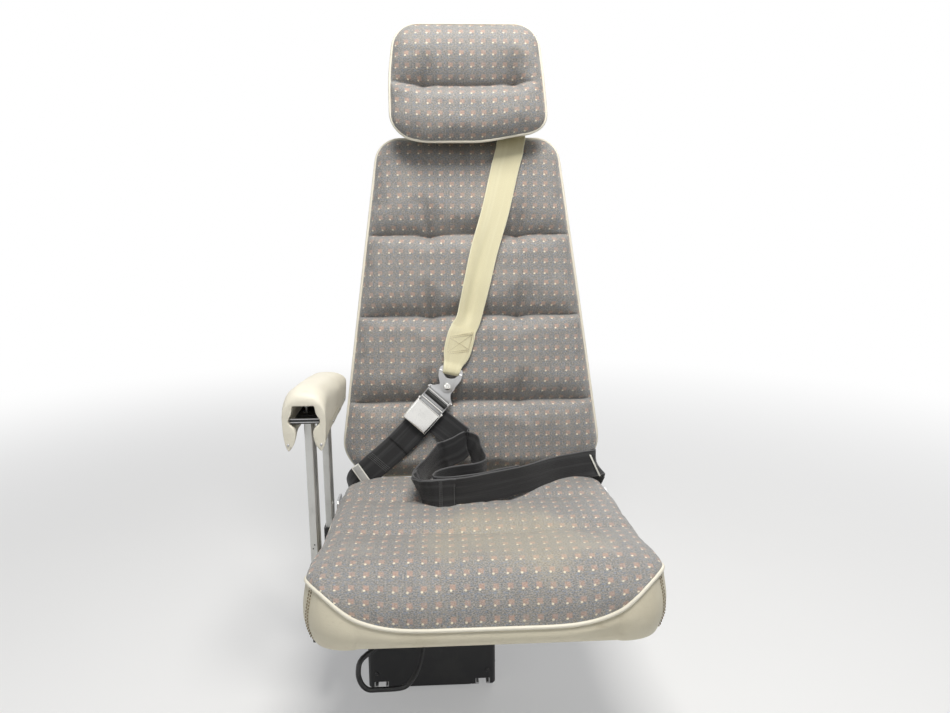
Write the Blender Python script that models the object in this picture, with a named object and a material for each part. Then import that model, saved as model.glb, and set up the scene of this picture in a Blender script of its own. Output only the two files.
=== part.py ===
# Light-aircraft passenger seat: pedestal, upholstered pan and back, headrest, one armrest, belts.
# Metres, +Z up, +Y to the seat's rear, +X to the right of somebody who looks at the seat.
# The origin is the middle of the pedestal's floor face.

import math

import bmesh
import bpy
from mathutils import Matrix, Vector

# Fits
TOUCH = 0.0003
RUN = 0.0004

# Pedestal on its two track shoes
PEDESTAL_WIDTH = 0.202
PEDESTAL_DEPTH = 0.260
PEDESTAL_TOP = 0.175
PEDESTAL_HEM = 0.006
PEDESTAL_WALL = 0.003
PEDESTAL_CORNER = 0.008
SHOE_WIDTH = 0.034
SHOE_HEIGHT = 0.022
SHOE_CAVITY = 0.020
SHOE_MOUTH = 0.012
SHOE_LIP = 0.003
SHOE_ROOF = 0.008
SHOE_END_GAP = 0.005
BASE_THICK = 0.004

# Track release: a rod handle on a cross shaft lifts a yoke with two sprung lock pins
HANDLE_ROD = 0.004
HANDLE_LEG_LEFT = -0.068
HANDLE_LEG_RIGHT = -0.012
HANDLE_REACH = 0.067
HANDLE_FLARE = 0.040
HANDLE_LEG_RISE = 0.045
HANDLE_LOW = 0.050
SHAFT_Y = 0.030
SHAFT_Z = 0.110
SHAFT_RADIUS = 0.005
SHAFT_RIGHT_END = 0.022
SHAFT_BOSS = 0.013
YOKE_Y = -0.050
YOKE_HEIGHT = 0.006
YOKE_DEPTH = 0.012
YOKE_GAP = 0.0010
PIN_RADIUS = 0.0045
PIN_END_Z = 0.0035
STUB_RADIUS = 0.004
STUB_LENGTH = 0.037
BRIDGE_Z = 0.142
BRIDGE_DEPTH = 0.032
SHEET = 0.003
SPRING_WIRE = 0.0008
SPRING_RADIUS = 0.0065
SPRING_TURNS = 5
SLOT_HEIGHT = 0.048

# Seat structure, whose middle plane stands beside the pedestal's
SEAT_X = 0.076
PAN_HALF_WIDTH = 0.205
PAN_FRONT = -0.315
PAN_REAR = 0.035
PAN_RISE = 0.0457
PAN_TOP = PEDESTAL_TOP + PAN_RISE
PAN_THICK = 0.003
PAN_WALL = 0.0025
PAN_FLANGE = 0.021
PAN_CORNER = 0.010
PAN_HOLE = 0.029
TUBE_RADIUS = 0.014
TUBE_WALL = 0.002
TUBE_FRONT_Y = -0.100
TUBE_REAR_Y = 0.012
SADDLE_LENGTH = 0.170
SADDLE_DEPTH = 0.040
PLATE = 0.005
ANCHOR_FRONT = 0.006
ANCHOR_REAR = 0.046
ANCHOR_LOW = PAN_TOP - 0.0207
ANCHOR_TOP = PAN_TOP + 0.0453
ANCHOR_STANDOFF = 0.0216
ANCHOR_X = PAN_HALF_WIDTH + PLATE + 2 * TOUCH

# Seat cushion
CUSHION_OVERHANG = 0.023
CUSHION_NOSE = 0.042
CUSHION_TAIL = 0.009
CUSHION_BOXING = 0.0633
CUSHION_DOME = 0.027
CUSHION_HALF_WIDTH = PAN_HALF_WIDTH + CUSHION_OVERHANG
CUSHION_FRONT = PAN_FRONT - CUSHION_NOSE
CUSHION_REAR = PAN_REAR + CUSHION_TAIL
CUSHION_PIPING = PAN_TOP + CUSHION_BOXING
CUSHION_CROWN = CUSHION_PIPING + CUSHION_DOME
CUSHION_SINK = 0.012
CUSHION_FRONT_DIP = 0.048
CUSHION_DIP_POWER = 4.5
CUSHION_DIP_REACH = 0.020
CUSHION_CORNER = 0.050
CUSHION_ROLL = 0.055
CUSHION_SIDE_ROLL = 0.045
CUSHION_REAR_ROLL = 0.030
CUSHION_SEAMS = (-0.203, -0.072)
CUSHION_SEAM_DEPTH = 0.012

# Backrest, in a frame that turns on the recline axis: x across, y up the back, z to the front
HINGE_BEHIND = 0.047
HINGE_RISE = 0.0273
HINGE_Y = PAN_REAR + HINGE_BEHIND
HINGE_Z = PAN_TOP + HINGE_RISE
RECLINE = math.radians(8.0)
RECLINE_RANGE = math.radians(22.0)
BACK_OVERHANG = 0.021
BACK_HALF_WIDTH = PAN_HALF_WIDTH + BACK_OVERHANG
BACK_WIDEST = 0.100
BACK_TAPER = 0.1326
BACK_LOW = 0.038
BACK_TOP = 0.630
BACK_TOP_CORNER = 0.034
BACK_LOW_CORNER = 0.060
BACK_PAD_REAR = -0.0042
BACK_PIPING = 0.018
BACK_CROWN = 0.046
BACK_SEAMS = (0.169, 0.320, 0.462)
BACK_SEAM_DEPTH = 0.012
BACK_ROLL = 0.034
BACK_SIDE_ROLL = 0.036
SHELL_WALL = 0.004
SHELL_PROUD = 0.005
HOOP_RADIUS = 0.010
HOOP_INSET = 0.0153
HOOP_COVER = 0.055
HOOP_LOW_X = PAN_HALF_WIDTH - HOOP_INSET
HOOP_LOW = 0.030
HOOP_TOP = BACK_TOP - HOOP_COVER
HOOP_BEND = 0.045
LUG_RADIUS = 0.018
BRACKET_LUG = 0.020
PIVOT_RADIUS = 0.005
PIVOT_HEAD = 0.009
ARM_TOP = 0.185
BACK_TUBE_V = 0.062
BACK_TUBE_RADIUS = 0.009

# Recline lock strut under the pan
STRUT_X = 0.124
STRUT_ARM = 0.085
STRUT_RADIUS = 0.010
STRUT_ROD = 0.004
STRUT_FRONT = -0.115
STRUT_REAR = 0.015
STRUT_PIN = 0.003
STRUT_EYE = 0.010
STRUT_EYE_HOLE = 0.0044
STRUT_LUG_GAP = 0.004
STRUT_BOSS = 0.010

# Headrest on two posts
POST_X = 0.038
POST_RADIUS = 0.005
GUIDE_RADIUS = 0.0075
GUIDE_COLLAR = 0.010
GUIDE_DEPTH = 0.105
GUIDE_LOW = HOOP_TOP - GUIDE_DEPTH
POST_LOW = GUIDE_LOW + 0.005
POST_DEPTH = 0.020
HEAD_LAP = 0.023
HEAD_HEIGHT = 0.191
HEAD_LOW = BACK_TOP - HEAD_LAP
HEAD_TOP = HEAD_LOW + HEAD_HEIGHT
HEAD_HALF_LOW = 0.130
HEAD_HALF_TOP = 0.113
HEAD_CORNER = 0.032
HEAD_PAD_REAR = 0.051
HEAD_PIPING = 0.078
HEAD_CROWN = 0.101
HEAD_ROLL = 0.045
HEAD_TUFT_REACH = 0.030
HEAD_TUFT_DEPTH = 0.010
HEAD_TUFT_X = 0.077
HEAD_TUFT_V = HEAD_LOW + 0.093
BACKING_GAP = 0.010
BACKING_LOW = BACK_TOP + BACKING_GAP
BACKING_TOP = HEAD_TOP - 0.012
BACKING_HALF = 0.106
BACKING_REAR = -0.028
BACKING_CORNER = 0.022

# Armrest, which slides down on two upright bars
ARM_STANDOFF = 0.040
ARM_RISE = 0.2733
ARM_NOSE_RISE = 0.021
ARM_DEPTH = 0.060
ARM_CROWN = 0.007
ARM_X = SEAT_X - PAN_HALF_WIDTH - ARM_STANDOFF
ARM_FRONT = -0.195
ARM_REAR = 0.050
ARM_TOP_REAR = PAN_TOP + ARM_RISE
ARM_TOP_FRONT = ARM_TOP_REAR + ARM_NOSE_RISE
ARM_UNDER = ARM_TOP_REAR - ARM_DEPTH
ARM_WIDTH = 0.056
ARM_CHANNEL = 0.030
ARM_CHANNEL_TOP = ARM_TOP_REAR - ARM_CROWN
ARM_CHANNEL_REAR = 0.020
ARM_TUCK = 0.003
ARM_END_ROLL = 0.030
BAR_THICK = 0.011
BAR_DEPTH = 0.032
BAR_SEAT = 0.0233
BAR_TOP = ARM_CHANNEL_TOP - BAR_SEAT
BAR_LOW = PAN_TOP - 0.0707
BAR_FRONT_Y = -0.149
BAR_REAR_Y = -0.005
BAR_GROOVE = 0.006
BAR_GROOVE_DEPTH = 0.004
SLEEVE_WALL = 0.003
SLEEVE_LOW = PAN_TOP - 0.1087
SLEEVE_TOP = PAN_TOP + 0.0113
SLEEVE_BRACKET = 0.0607
TIE_THICK = 0.003
TIE_FRONT = -0.171
TIE_REAR = 0.014
RELEASE_RISE = 0.0088
RELEASE_Z = BAR_TOP + RELEASE_RISE
RELEASE_THICK = 0.0022
RELEASE_HINGE_Y = -0.100
RELEASE_FRONT = -0.186
PULL_ROD = 0.0015
PULL_ROD_PLAY = 0.0010
PULL_ROD_HEAD = 0.0042
PULL_ROD_LOW = SLEEVE_TOP - 0.010

# Webbing and buckle
WEB_WIDTH = 0.048
WEB_THICK = 0.0024
STRAP_TOP_X = 0.0758
STRAP_DRIFT = 0.24
STRAP_LOW_ROWS = (0.570, 0.500, 0.434, 0.366, 0.325)
STRAP_END = ((-0.019, 0.290), (-0.0255, 0.264), (-0.030, 0.242))
BUCKLE_X = -0.088
BUCKLE_V = 0.149
BUCKLE_LIFT = 0.0495
BUCKLE_TURN = math.radians(-42.0)
BUCKLE_WIDTH = 0.044
BUCKLE_LENGTH = 0.060
BUCKLE_HEIGHT = 0.009
BUCKLE_WALL = 0.002
BUCKLE_BAR = 0.003
BUCKLE_BAR_INSET = 0.0035
TONGUE_THICK = 0.0025
TONGUE_END = 0.011
TONGUE_SHOULDER = 0.009
LEVER_WIDTH = 0.047
LEVER_LENGTH = 0.046
LEVER_THICK = 0.0022
LEVER_HINGE = 0.024
STUD_AT = 0.067
STUD_NECK = 0.005
STUD_HEAD = 0.008

# Lap belt routes: across from the seat's middle, along the seat, and lift over the cushion's crown
LAP_LONG = ((-0.060, 0.020, 0.014), (-0.080, -0.018, 0.004), (-0.098, -0.066, 0), (-0.098, -0.098, 0),
            (-0.086, -0.117, 0), (-0.066, -0.124, 0), (-0.012, -0.114, 0), (0.072, -0.068, 0),
            (0.135, -0.020, 0), (0.180, 0.004, 0), (0.208, 0.014, 0))
LAP_TAIL = ((0.004, 0.028, 0.008), (0.016, 0.010, 0.003), (0.018, -0.022, 0), (0.004, -0.046, 0),
            (-0.030, -0.058, 0), (-0.060, -0.080, 0), (-0.069, -0.100, 0), (-0.058, -0.1125, 0),
            (-0.012, -0.106, 0), (0.068, -0.062, 0))
LAP_SHORT_WIDTH = 0.044


def clear_scene():
    for old in list(bpy.data.objects):
        bpy.data.objects.remove(old, do_unlink=True)


def make_material(name, colour, roughness, metallic=0.0):
    material = bpy.data.materials.new(name)
    material.use_nodes = True
    shader = material.node_tree.nodes["Principled BSDF"]
    shader.inputs["Base Color"].default_value = (*colour, 1.0)
    shader.inputs["Roughness"].default_value = roughness
    shader.inputs["Metallic"].default_value = metallic
    return material


def make_empty(name, location, parent=None, rotation=(0.0, 0.0, 0.0)):
    empty = bpy.data.objects.new(name, None)
    bpy.context.collection.objects.link(empty)
    empty.location = location
    empty.rotation_euler = rotation
    empty.parent = parent
    return empty


def make_object(name, bm, material, parent=None, smooth=True):
    """Turn a bmesh into a named object with outward faces and its own material."""
    bmesh.ops.recalc_face_normals(bm, faces=bm.faces[:])
    mesh = bpy.data.meshes.new(name)
    bm.to_mesh(mesh)
    bm.free()
    if smooth:
        mesh.shade_smooth()
        mesh.set_sharp_from_angle(angle=math.radians(35))
    mesh.materials.append(material)
    piece = bpy.data.objects.new(name, mesh)
    bpy.context.collection.objects.link(piece)
    piece.parent = parent
    return piece


def loft(name, rings, material, parent=None, closed=False, weld=False):
    """Skin rings of equal count. An open loft gets a cap at each end, a closed one joins its ends.

    Points that share a place are welded where the section changes at one station.
    """
    bm = bmesh.new()
    loops = [[bm.verts.new(point) for point in ring] for ring in rings]
    pairs = list(zip(loops, loops[1:]))
    if closed:
        pairs.append((loops[-1], loops[0]))
    count = len(loops[0])
    for first, second in pairs:
        for i in range(count):
            j = (i + 1) % count
            bm.faces.new((first[i], first[j], second[j], second[i]))
    if not closed:
        bm.faces.new(list(reversed(loops[0])))
        bm.faces.new(loops[-1])
    if weld:
        bmesh.ops.remove_doubles(bm, verts=bm.verts[:], dist=0.000001)
    return make_object(name, bm, material, parent)


def arc(centre, radius, start, end, steps):
    """Points on an arc in a plane, angles in degrees."""
    points = []
    for i in range(steps + 1):
        angle = math.radians(start + (end - start) * i / steps)
        points.append((centre[0] + radius * math.cos(angle), centre[1] + radius * math.sin(angle)))
    return points


def rounded_rectangle(low, high, radius, steps=3):
    """Outline of a rectangle from corner low to corner high, with round corners."""
    (x0, y0), (x1, y1) = low, high
    points = []
    for x, y, start in ((x1 - radius, y1 - radius, 0), (x0 + radius, y1 - radius, 90),
                        (x0 + radius, y0 + radius, 180), (x1 - radius, y0 + radius, 270)):
        points += arc((x, y), radius, start, start + 90, steps)
    return points


def prism(name, outline, axis, low, high, material, parent=None):
    """Extrude a closed outline along X, Y or Z. The outline lies in the two other axes, in order."""
    def place(point, depth):
        a, b = point
        return {"X": (depth, a, b), "Y": (a, depth, b), "Z": (a, b, depth)}[axis]
    rings = [[place(point, depth) for point in outline] for depth in (low, high)]
    return loft(name, rings, material, parent)


def cylinder(name, start, end, radius, material, parent=None, sides=20, bore=0.0):
    """Round bar between two points, or a tube where it has a bore."""
    start = Vector(start)
    end = Vector(end)
    along = (end - start).normalized()
    side = along.orthogonal().normalized()
    other = along.cross(side)

    def ring(centre, size):
        turns = [2 * math.pi * i / sides for i in range(sides)]
        return [centre + side * size * math.cos(t) + other * size * math.sin(t) for t in turns]
    if bore:
        rings = [ring(start, radius), ring(end, radius), ring(end, bore), ring(start, bore)]
        return loft(name, rings, material, parent, closed=True)
    chamfer = min(radius * 0.18, (end - start).length * 0.2)
    rings = [ring(start, radius - chamfer), ring(start + along * chamfer, radius)]
    rings += [ring(end - along * chamfer, radius), ring(end, radius - chamfer)]
    return loft(name, rings, material, parent)


def combine(piece, helper, operation):
    """Add a live exact Boolean, and keep its helper out of the model."""
    modifier = piece.modifiers.new(helper.name, "BOOLEAN")
    modifier.operation = operation
    modifier.object = helper
    modifier.solver = "EXACT"
    helper.hide_render = True
    helper.display_type = "WIRE"


def drill(piece, start, end, radius, parent=None, sides=20):
    cutter = cylinder(piece.name + "_drill", start, end, radius, piece.data.materials[0], parent, sides)
    combine(piece, cutter, "DIFFERENCE")


def cut_box(piece, low, high, parent=None):
    outline = [(low[0], low[1]), (high[0], low[1]), (high[0], high[1]), (low[0], high[1])]
    cutter = prism(piece.name + "_cut", outline, "Z", low[2], high[2], piece.data.materials[0], parent)
    combine(piece, cutter, "DIFFERENCE")


def smooth_path(points, per_span):
    """Points on a Catmull-Rom curve through the given points."""
    points = [Vector(point) for point in points]
    ends = [points[0] * 2 - points[1]] + points + [points[-1] * 2 - points[-2]]
    path = []
    for i in range(1, len(ends) - 2):
        p0, p1, p2, p3 = ends[i - 1:i + 3]
        for k in range(per_span):
            t = k / per_span
            path.append(0.5 * (2 * p1 + (p2 - p0) * t + (2 * p0 - 5 * p1 + 4 * p2 - p3) * t ** 2
                               + (3 * p1 - p0 - 3 * p2 + p3) * t ** 3))
    path.append(points[-1])
    return path


def rod(name, points, radius, material, parent=None, resolution=2):
    """Bent round bar along a list of points."""
    curve = bpy.data.curves.new(name, "CURVE")
    curve.dimensions = "3D"
    curve.bevel_depth = radius
    curve.bevel_resolution = resolution
    curve.use_fill_caps = True
    curve.render_resolution_u = 0
    spline = curve.splines.new("POLY")
    spline.points.add(len(points) - 1)
    for slot, point in zip(spline.points, points):
        slot.co = (*point, 1.0)
    spline.use_smooth = True
    curve.materials.append(material)
    piece = bpy.data.objects.new(name, curve)
    bpy.context.collection.objects.link(piece)
    piece.parent = parent
    return piece


def ribbon(name, route, width, material, parent=None, per_span=4):
    """Flat webbing: each route entry is a centre point and the direction of the width there."""
    centres = smooth_path([entry[0] for entry in route], per_span)
    across = smooth_path([entry[1] for entry in route], per_span)
    rings = []
    for i, centre in enumerate(centres):
        ahead = centres[min(i + 1, len(centres) - 1)] - centres[max(i - 1, 0)]
        side = (across[i] - ahead * across[i].dot(ahead) / ahead.length_squared).normalized()
        face = ahead.cross(side).normalized()
        half = side * width / 2
        thick = face * WEB_THICK / 2
        low = centre - thick
        high = centre + thick
        rings.append([low - half, low + half, high + half, high - half])
    return loft(name, rings, material, parent)


def roll(distance, radius):
    """Height share of a rounded edge: 0 on the edge, 1 from the radius inwards."""
    share = min(max(distance / radius, 0.0), 1.0)
    return math.sqrt(1 - (1 - share) ** 2)


def pad(name, across, along, surface, rear, material, parent=None):
    """Closed pad: a crowned grid over side walls that end on a flat rear face."""
    bm = bmesh.new()
    grid = [[bm.verts.new(surface(s, t)) for s in across] for t in along]
    for row, following in zip(grid, grid[1:]):
        for i in range(len(across) - 1):
            bm.faces.new((row[i], row[i + 1], following[i + 1], following[i]))
    edge = grid[0][:] + [row[-1] for row in grid[1:]]
    edge += list(reversed(grid[-1][:-1])) + [row[0] for row in reversed(grid[1:-1])]
    foot = [bm.verts.new((vertex.co.x, vertex.co.y, rear)) for vertex in edge]
    for i in range(len(edge)):
        j = (i + 1) % len(edge)
        bm.faces.new((edge[i], foot[i], foot[j], edge[j]))
    bm.faces.new(foot)
    return make_object(name, bm, material, parent)


def spread(count, ease=1.6):
    """Values from -1 to 1 that crowd towards both ends."""
    values = []
    for i in range(count + 1):
        share = 2 * i / count - 1
        values.append(math.copysign(1 - (1 - abs(share)) ** ease, share))
    return values


def panel_rows(stops, per_panel, low_extra, high_extra):
    """Rows for a channelled pad: even inside each panel, with extra rows at both rolled ends."""
    rows = list(low_extra)
    for first, second in zip(stops, stops[1:]):
        rows += [first + (second - first) * i / per_panel for i in range(per_panel)]
    rows += [stops[-1]] + list(high_extra)
    return sorted(set(round(row, 6) for row in rows))


def rolled_rows(edge, radius, angles):
    """Rows across a rolled edge, given by the angles of its quarter circle."""
    return [edge + radius * (1 - math.cos(math.radians(angle))) for angle in angles]


def channel_dip(place, seams, depth, reach=0.022):
    """How far a sewn channel pulls the cover in at this place."""
    nearest = min(abs(place - seam) for seam in seams)
    return depth * max(0.0, 1 - nearest / reach) ** 2


def pedestal_shell():
    half = PEDESTAL_WIDTH / 2
    deep = PEDESTAL_DEPTH / 2

    def ring(inset, z):
        outline = rounded_rectangle((inset - half, inset - deep), (half - inset, deep - inset),
                                    max(PEDESTAL_CORNER - inset, 0.002))
        return [(x, y, z) for x, y in outline]
    wall = PEDESTAL_WALL
    rings = [ring(wall, PEDESTAL_TOP - wall), ring(wall, PEDESTAL_HEM), ring(0, PEDESTAL_HEM)]
    rings += [ring(0, PEDESTAL_TOP - 0.002), ring(0.002, PEDESTAL_TOP)]
    shell = loft("pedestal_shell", rings, black_paint)
    slot_low = handle_leg_z(-deep) - HANDLE_ROD - 0.006
    slot_top = slot_low + SLOT_HEIGHT
    reach = HANDLE_ROD + 0.0022
    for leg in (HANDLE_LEG_LEFT, HANDLE_LEG_RIGHT):
        cut_box(shell, (leg - reach, -deep - 0.01, slot_low), (leg + reach, -deep + 0.01, slot_top))
    track = SHOE_CAVITY / 2 + 0.0015
    roof = SHOE_HEIGHT - SHOE_ROOF + 0.0015
    for x in (-shoe_x(), shoe_x()):
        cut_box(shell, (x - track, -deep - 0.01, PEDESTAL_HEM - 0.01), (x + track, deep + 0.01, roof))
    drill(shell, (-half - 0.01, SHAFT_Y, SHAFT_Z), (-half + 0.01, SHAFT_Y, SHAFT_Z), SHAFT_RADIUS + RUN)
    cut_box(shell, (-0.055, deep - 0.01, 0.040), (0.055, deep + 0.01, 0.120))


def track_shoes():
    """Two extruded shoes whose lips grip the floor track, with a hole for each lock pin."""
    deep = PEDESTAL_DEPTH / 2 - PEDESTAL_WALL - SHOE_END_GAP
    roof = SHOE_HEIGHT - SHOE_ROOF
    mouth = SHOE_MOUTH / 2
    cavity = SHOE_CAVITY / 2
    wide = SHOE_WIDTH / 2
    profile = [(-wide, 0), (-mouth, 0), (-mouth, SHOE_LIP), (-cavity, SHOE_LIP), (-cavity, roof)]
    profile += [(cavity, roof), (cavity, SHOE_LIP), (mouth, SHOE_LIP), (mouth, 0), (wide, 0)]
    profile += [(wide, SHOE_HEIGHT - 0.002), (wide - 0.002, SHOE_HEIGHT), (0.002 - wide, SHOE_HEIGHT)]
    profile += [(-wide, SHOE_HEIGHT - 0.002)]
    for side, name in ((-1, "track_shoe_left"), (1, "track_shoe_right")):
        centre = side * shoe_x()
        shoe = prism(name, [(centre + x, z) for x, z in profile], "Y", -deep, deep, steel)
        drill(shoe, (centre, YOKE_Y, roof - 0.004), (centre, YOKE_Y, SHOE_HEIGHT + 0.004), PIN_RADIUS + RUN)


def shoe_x():
    return PEDESTAL_WIDTH / 2 - PEDESTAL_WALL - TOUCH - SHOE_WIDTH / 2


def base_plate():
    half = shoe_x() - SHOE_WIDTH / 2 - TOUCH
    deep = PEDESTAL_DEPTH / 2 - PEDESTAL_WALL - SHOE_END_GAP
    outline = rounded_rectangle((-half, -deep), (half, deep), 0.004)
    prism("base_plate", outline, "Z", 0, BASE_THICK, black_paint)


def handle_leg_z(y):
    """Height of the handle's straight legs, which run down from the shaft to the front."""
    front = HANDLE_LOW + HANDLE_LEG_RISE
    return SHAFT_Z + (front - SHAFT_Z) * (SHAFT_Y - y) / (SHAFT_Y + PEDESTAL_DEPTH / 2 + HANDLE_REACH)


def release_handle(parent):
    """Bent rod: two legs through the front wall and a hand loop that hangs in front of it."""
    wall = -PEDESTAL_DEPTH / 2
    bar = wall - HANDLE_REACH
    low = HANDLE_LOW
    left = HANDLE_LEG_LEFT
    right = HANDLE_LEG_RIGHT
    end = SHAFT_Y - SHAFT_RADIUS - TOUCH
    far_left = left - HANDLE_FLARE
    route = [(left, y, handle_leg_z(y)) for y in (end, -0.05, wall)]
    route += [(left - 0.004, wall - 0.020, handle_leg_z(wall - 0.02))]
    route += [(far_left + 0.006, bar + 0.012, low + 0.044), (far_left, bar + 0.001, low + 0.030)]
    route += [(far_left + 0.003, bar, low + 0.012), (far_left + 0.013, bar, low)]
    route += [(left - 0.010, bar, low - 0.001), (right - 0.036, bar, low)]
    route += [(right - 0.022, bar + 0.003, low + 0.005), (right - 0.008, bar + 0.020, low + 0.019)]
    route += [(right, bar + 0.045, handle_leg_z(bar + 0.045) - 0.004)]
    route += [(right, y, handle_leg_z(y)) for y in (wall + 0.012, -0.05, end)]
    shift = Vector((0, -SHAFT_Y, -SHAFT_Z))
    path = [point + shift for point in smooth_path(route, 4)]
    rod("release_handle", path, HANDLE_ROD, black_paint, parent)


def handle_shaft(parent):
    left = -PEDESTAL_WIDTH / 2 + 0.0005
    cylinder("handle_shaft", (left, 0, 0), (SHAFT_RIGHT_END, 0, 0), SHAFT_RADIUS, steel, parent)


def shaft_bracket():
    """Hanger under the pedestal's roof that carries the shaft's inner end."""
    roof = PEDESTAL_TOP - PEDESTAL_WALL - TOUCH
    outline = arc((SHAFT_Y, SHAFT_Z), SHAFT_BOSS, 180, 360, 8)
    outline += [(SHAFT_Y + 0.020, roof), (SHAFT_Y - 0.020, roof)]
    inner = SHAFT_RIGHT_END - 0.010
    bracket = prism("shaft_bracket", outline, "X", inner, inner + 0.004, steel)
    drill(bracket, (inner - 0.01, SHAFT_Y, SHAFT_Z), (inner + 0.02, SHAFT_Y, SHAFT_Z), SHAFT_RADIUS + RUN)


def yoke_z():
    return handle_leg_z(YOKE_Y) + HANDLE_ROD + YOKE_GAP


def lock_yoke(parent):
    """Cross bar with two lock pins below and two spring stubs above."""
    low = yoke_z()
    pin_x = shoe_x()
    half = YOKE_DEPTH / 2
    outline = rounded_rectangle((-pin_x - 0.008, YOKE_Y - half), (pin_x + 0.008, YOKE_Y + half), 0.003)
    yoke = prism("lock_yoke", outline, "Z", low, low + YOKE_HEIGHT, steel, parent)
    for side in (-1, 1):
        x = side * pin_x
        pin = cylinder("yoke_pin", (x, YOKE_Y, PIN_END_Z), (x, YOKE_Y, low + 0.001), PIN_RADIUS,
                       steel, parent, 16)
        stub = cylinder("yoke_stub", (x, YOKE_Y, low + 0.004), (x, YOKE_Y, low + STUB_LENGTH), STUB_RADIUS,
                        steel, parent, 16)
        combine(yoke, pin, "UNION")
        combine(yoke, stub, "UNION")


def lock_bridge():
    """Channel under the pedestal's roof that guides the stubs and takes the springs."""
    roof = PEDESTAL_TOP - PEDESTAL_WALL - TOUCH
    half = BRIDGE_DEPTH / 2
    web = BRIDGE_Z + SHEET
    profile = [(-half, BRIDGE_Z), (half, BRIDGE_Z), (half, roof), (half - SHEET, roof), (half - SHEET, web),
               (SHEET - half, web), (SHEET - half, roof), (-half, roof)]
    wide = shoe_x() + 0.014
    bridge = prism("lock_bridge", [(YOKE_Y + y, z) for y, z in profile], "X", -wide, wide, steel)
    for side in (-1, 1):
        x = side * shoe_x()
        drill(bridge, (x, YOKE_Y, BRIDGE_Z - 0.01), (x, YOKE_Y, web + 0.01), STUB_RADIUS + RUN, sides=16)


def lock_springs(parent):
    low = yoke_z() + YOKE_HEIGHT + SPRING_WIRE + TOUCH
    high = BRIDGE_Z - SPRING_WIRE - TOUCH
    steps = SPRING_TURNS * 12
    for side, name in ((-1, "lock_spring_left"), (1, "lock_spring_right")):
        points = []
        for i in range(steps + 1):
            turn = 2 * math.pi * i / 12
            x = side * shoe_x() + SPRING_RADIUS * math.cos(turn)
            points.append((x, YOKE_Y + SPRING_RADIUS * math.sin(turn), low + (high - low) * i / steps))
        rod(name, points, SPRING_WIRE, steel, parent, resolution=1)


def tube_z():
    return PAN_TOP - PAN_THICK - TOUCH - TUBE_RADIUS


def cross_tubes():
    """Two tubes across the seat, each on a saddle block on the pedestal's roof."""
    z = tube_z()
    half = PAN_HALF_WIDTH - PAN_WALL - TOUCH
    for y, place in ((TUBE_FRONT_Y, "front"), (TUBE_REAR_Y, "rear")):
        left = (SEAT_X - half, y, z)
        right = (SEAT_X + half, y, z)
        cylinder("cross_tube_" + place, left, right, TUBE_RADIUS, aluminium, sides=24,
                 bore=TUBE_RADIUS - TUBE_WALL)
        low = PEDESTAL_TOP + TOUCH
        high = z - 0.003
        deep = SADDLE_DEPTH / 2
        drop = math.degrees(math.asin(0.003 / (TUBE_RADIUS + TOUCH)))
        groove = arc((y, z), TUBE_RADIUS + TOUCH, -drop, drop - 180, 10)
        outline = [(y - deep, low), (y + deep, low), (y + deep, high)] + groove + [(y - deep, high)]
        prism("tube_saddle_" + place, outline, "X", -SADDLE_LENGTH / 2, SADDLE_LENGTH / 2, black_paint)


def seat_pan(parent):
    """Pressed pan with a turned-down rim and lightening holes."""
    def ring(inset, z):
        low = (inset - PAN_HALF_WIDTH, PAN_FRONT + inset)
        high = (PAN_HALF_WIDTH - inset, PAN_REAR - inset)
        return [(x, y, z) for x, y in rounded_rectangle(low, high, PAN_CORNER - inset, 4)]
    hem = PAN_TOP - PAN_FLANGE
    under = PAN_TOP - PAN_THICK
    edge = 0.0015
    rings = [ring(PAN_WALL, under), ring(PAN_WALL, hem), ring(0, hem), ring(0, PAN_TOP - edge)]
    rings.append(ring(edge, PAN_TOP))
    pan = loft("seat_pan", rings, aluminium, parent)
    for y in (-0.250, -0.165):
        for x in (-0.110, 0, 0.110):
            drill(pan, (x, y, under - 0.01), (x, y, PAN_TOP + 0.01), PAN_HOLE, parent, sides=24)


def cushion_half_width(y):
    """Plan of the cushion: straight sides, a little narrower at the rear, with round corners."""
    half = CUSHION_HALF_WIDTH - 0.012 * max(0.0, 1 - (CUSHION_REAR - y) / 0.194) ** 2
    for end in (y - CUSHION_FRONT, CUSHION_REAR - y):
        if end < CUSHION_CORNER:
            half -= CUSHION_CORNER - math.sqrt(max(CUSHION_CORNER ** 2 - (CUSHION_CORNER - end) ** 2, 0.0))
    return half


def cushion_crown(y):
    """Height of the cushion's crown, which sinks a little to the rear."""
    front = y - CUSHION_FRONT
    return CUSHION_CROWN - CUSHION_SINK * min(max(front - 0.07, 0.0) / 0.33, 1.0)


def cushion_surface(s, y):
    half = cushion_half_width(y)
    x = s * half
    front = y - CUSHION_FRONT
    middle = 1 - min(abs(x) / (CUSHION_HALF_WIDTH - 0.012), 1.0) ** CUSHION_DIP_POWER
    dip = CUSHION_FRONT_DIP * middle * max(0.0, 1 - front / CUSHION_DIP_REACH)
    edge = CUSHION_PIPING - dip
    crown = cushion_crown(y) - channel_dip(y, CUSHION_SEAMS, CUSHION_SEAM_DEPTH)
    share = roll((1 - abs(s)) * half, CUSHION_SIDE_ROLL) * roll(front, CUSHION_ROLL)
    share *= roll(CUSHION_REAR - y, CUSHION_REAR_ROLL)
    return (x, y, edge + (crown - edge) * share)


def seat_cushion(parent):
    front_rows = rolled_rows(CUSHION_FRONT, CUSHION_ROLL, (0, 18, 34, 48, 62, 76))
    rear_rows = rolled_rows(CUSHION_REAR, -CUSHION_REAR_ROLL, (0, 25, 50, 70))
    stops = (CUSHION_FRONT + CUSHION_ROLL, *CUSHION_SEAMS, CUSHION_REAR - CUSHION_REAR_ROLL)
    rows = panel_rows(stops, 6, front_rows, rear_rows)
    pad("seat_cushion", spread(14), rows, cushion_surface, PAN_TOP + TOUCH, fabric, parent)


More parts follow.
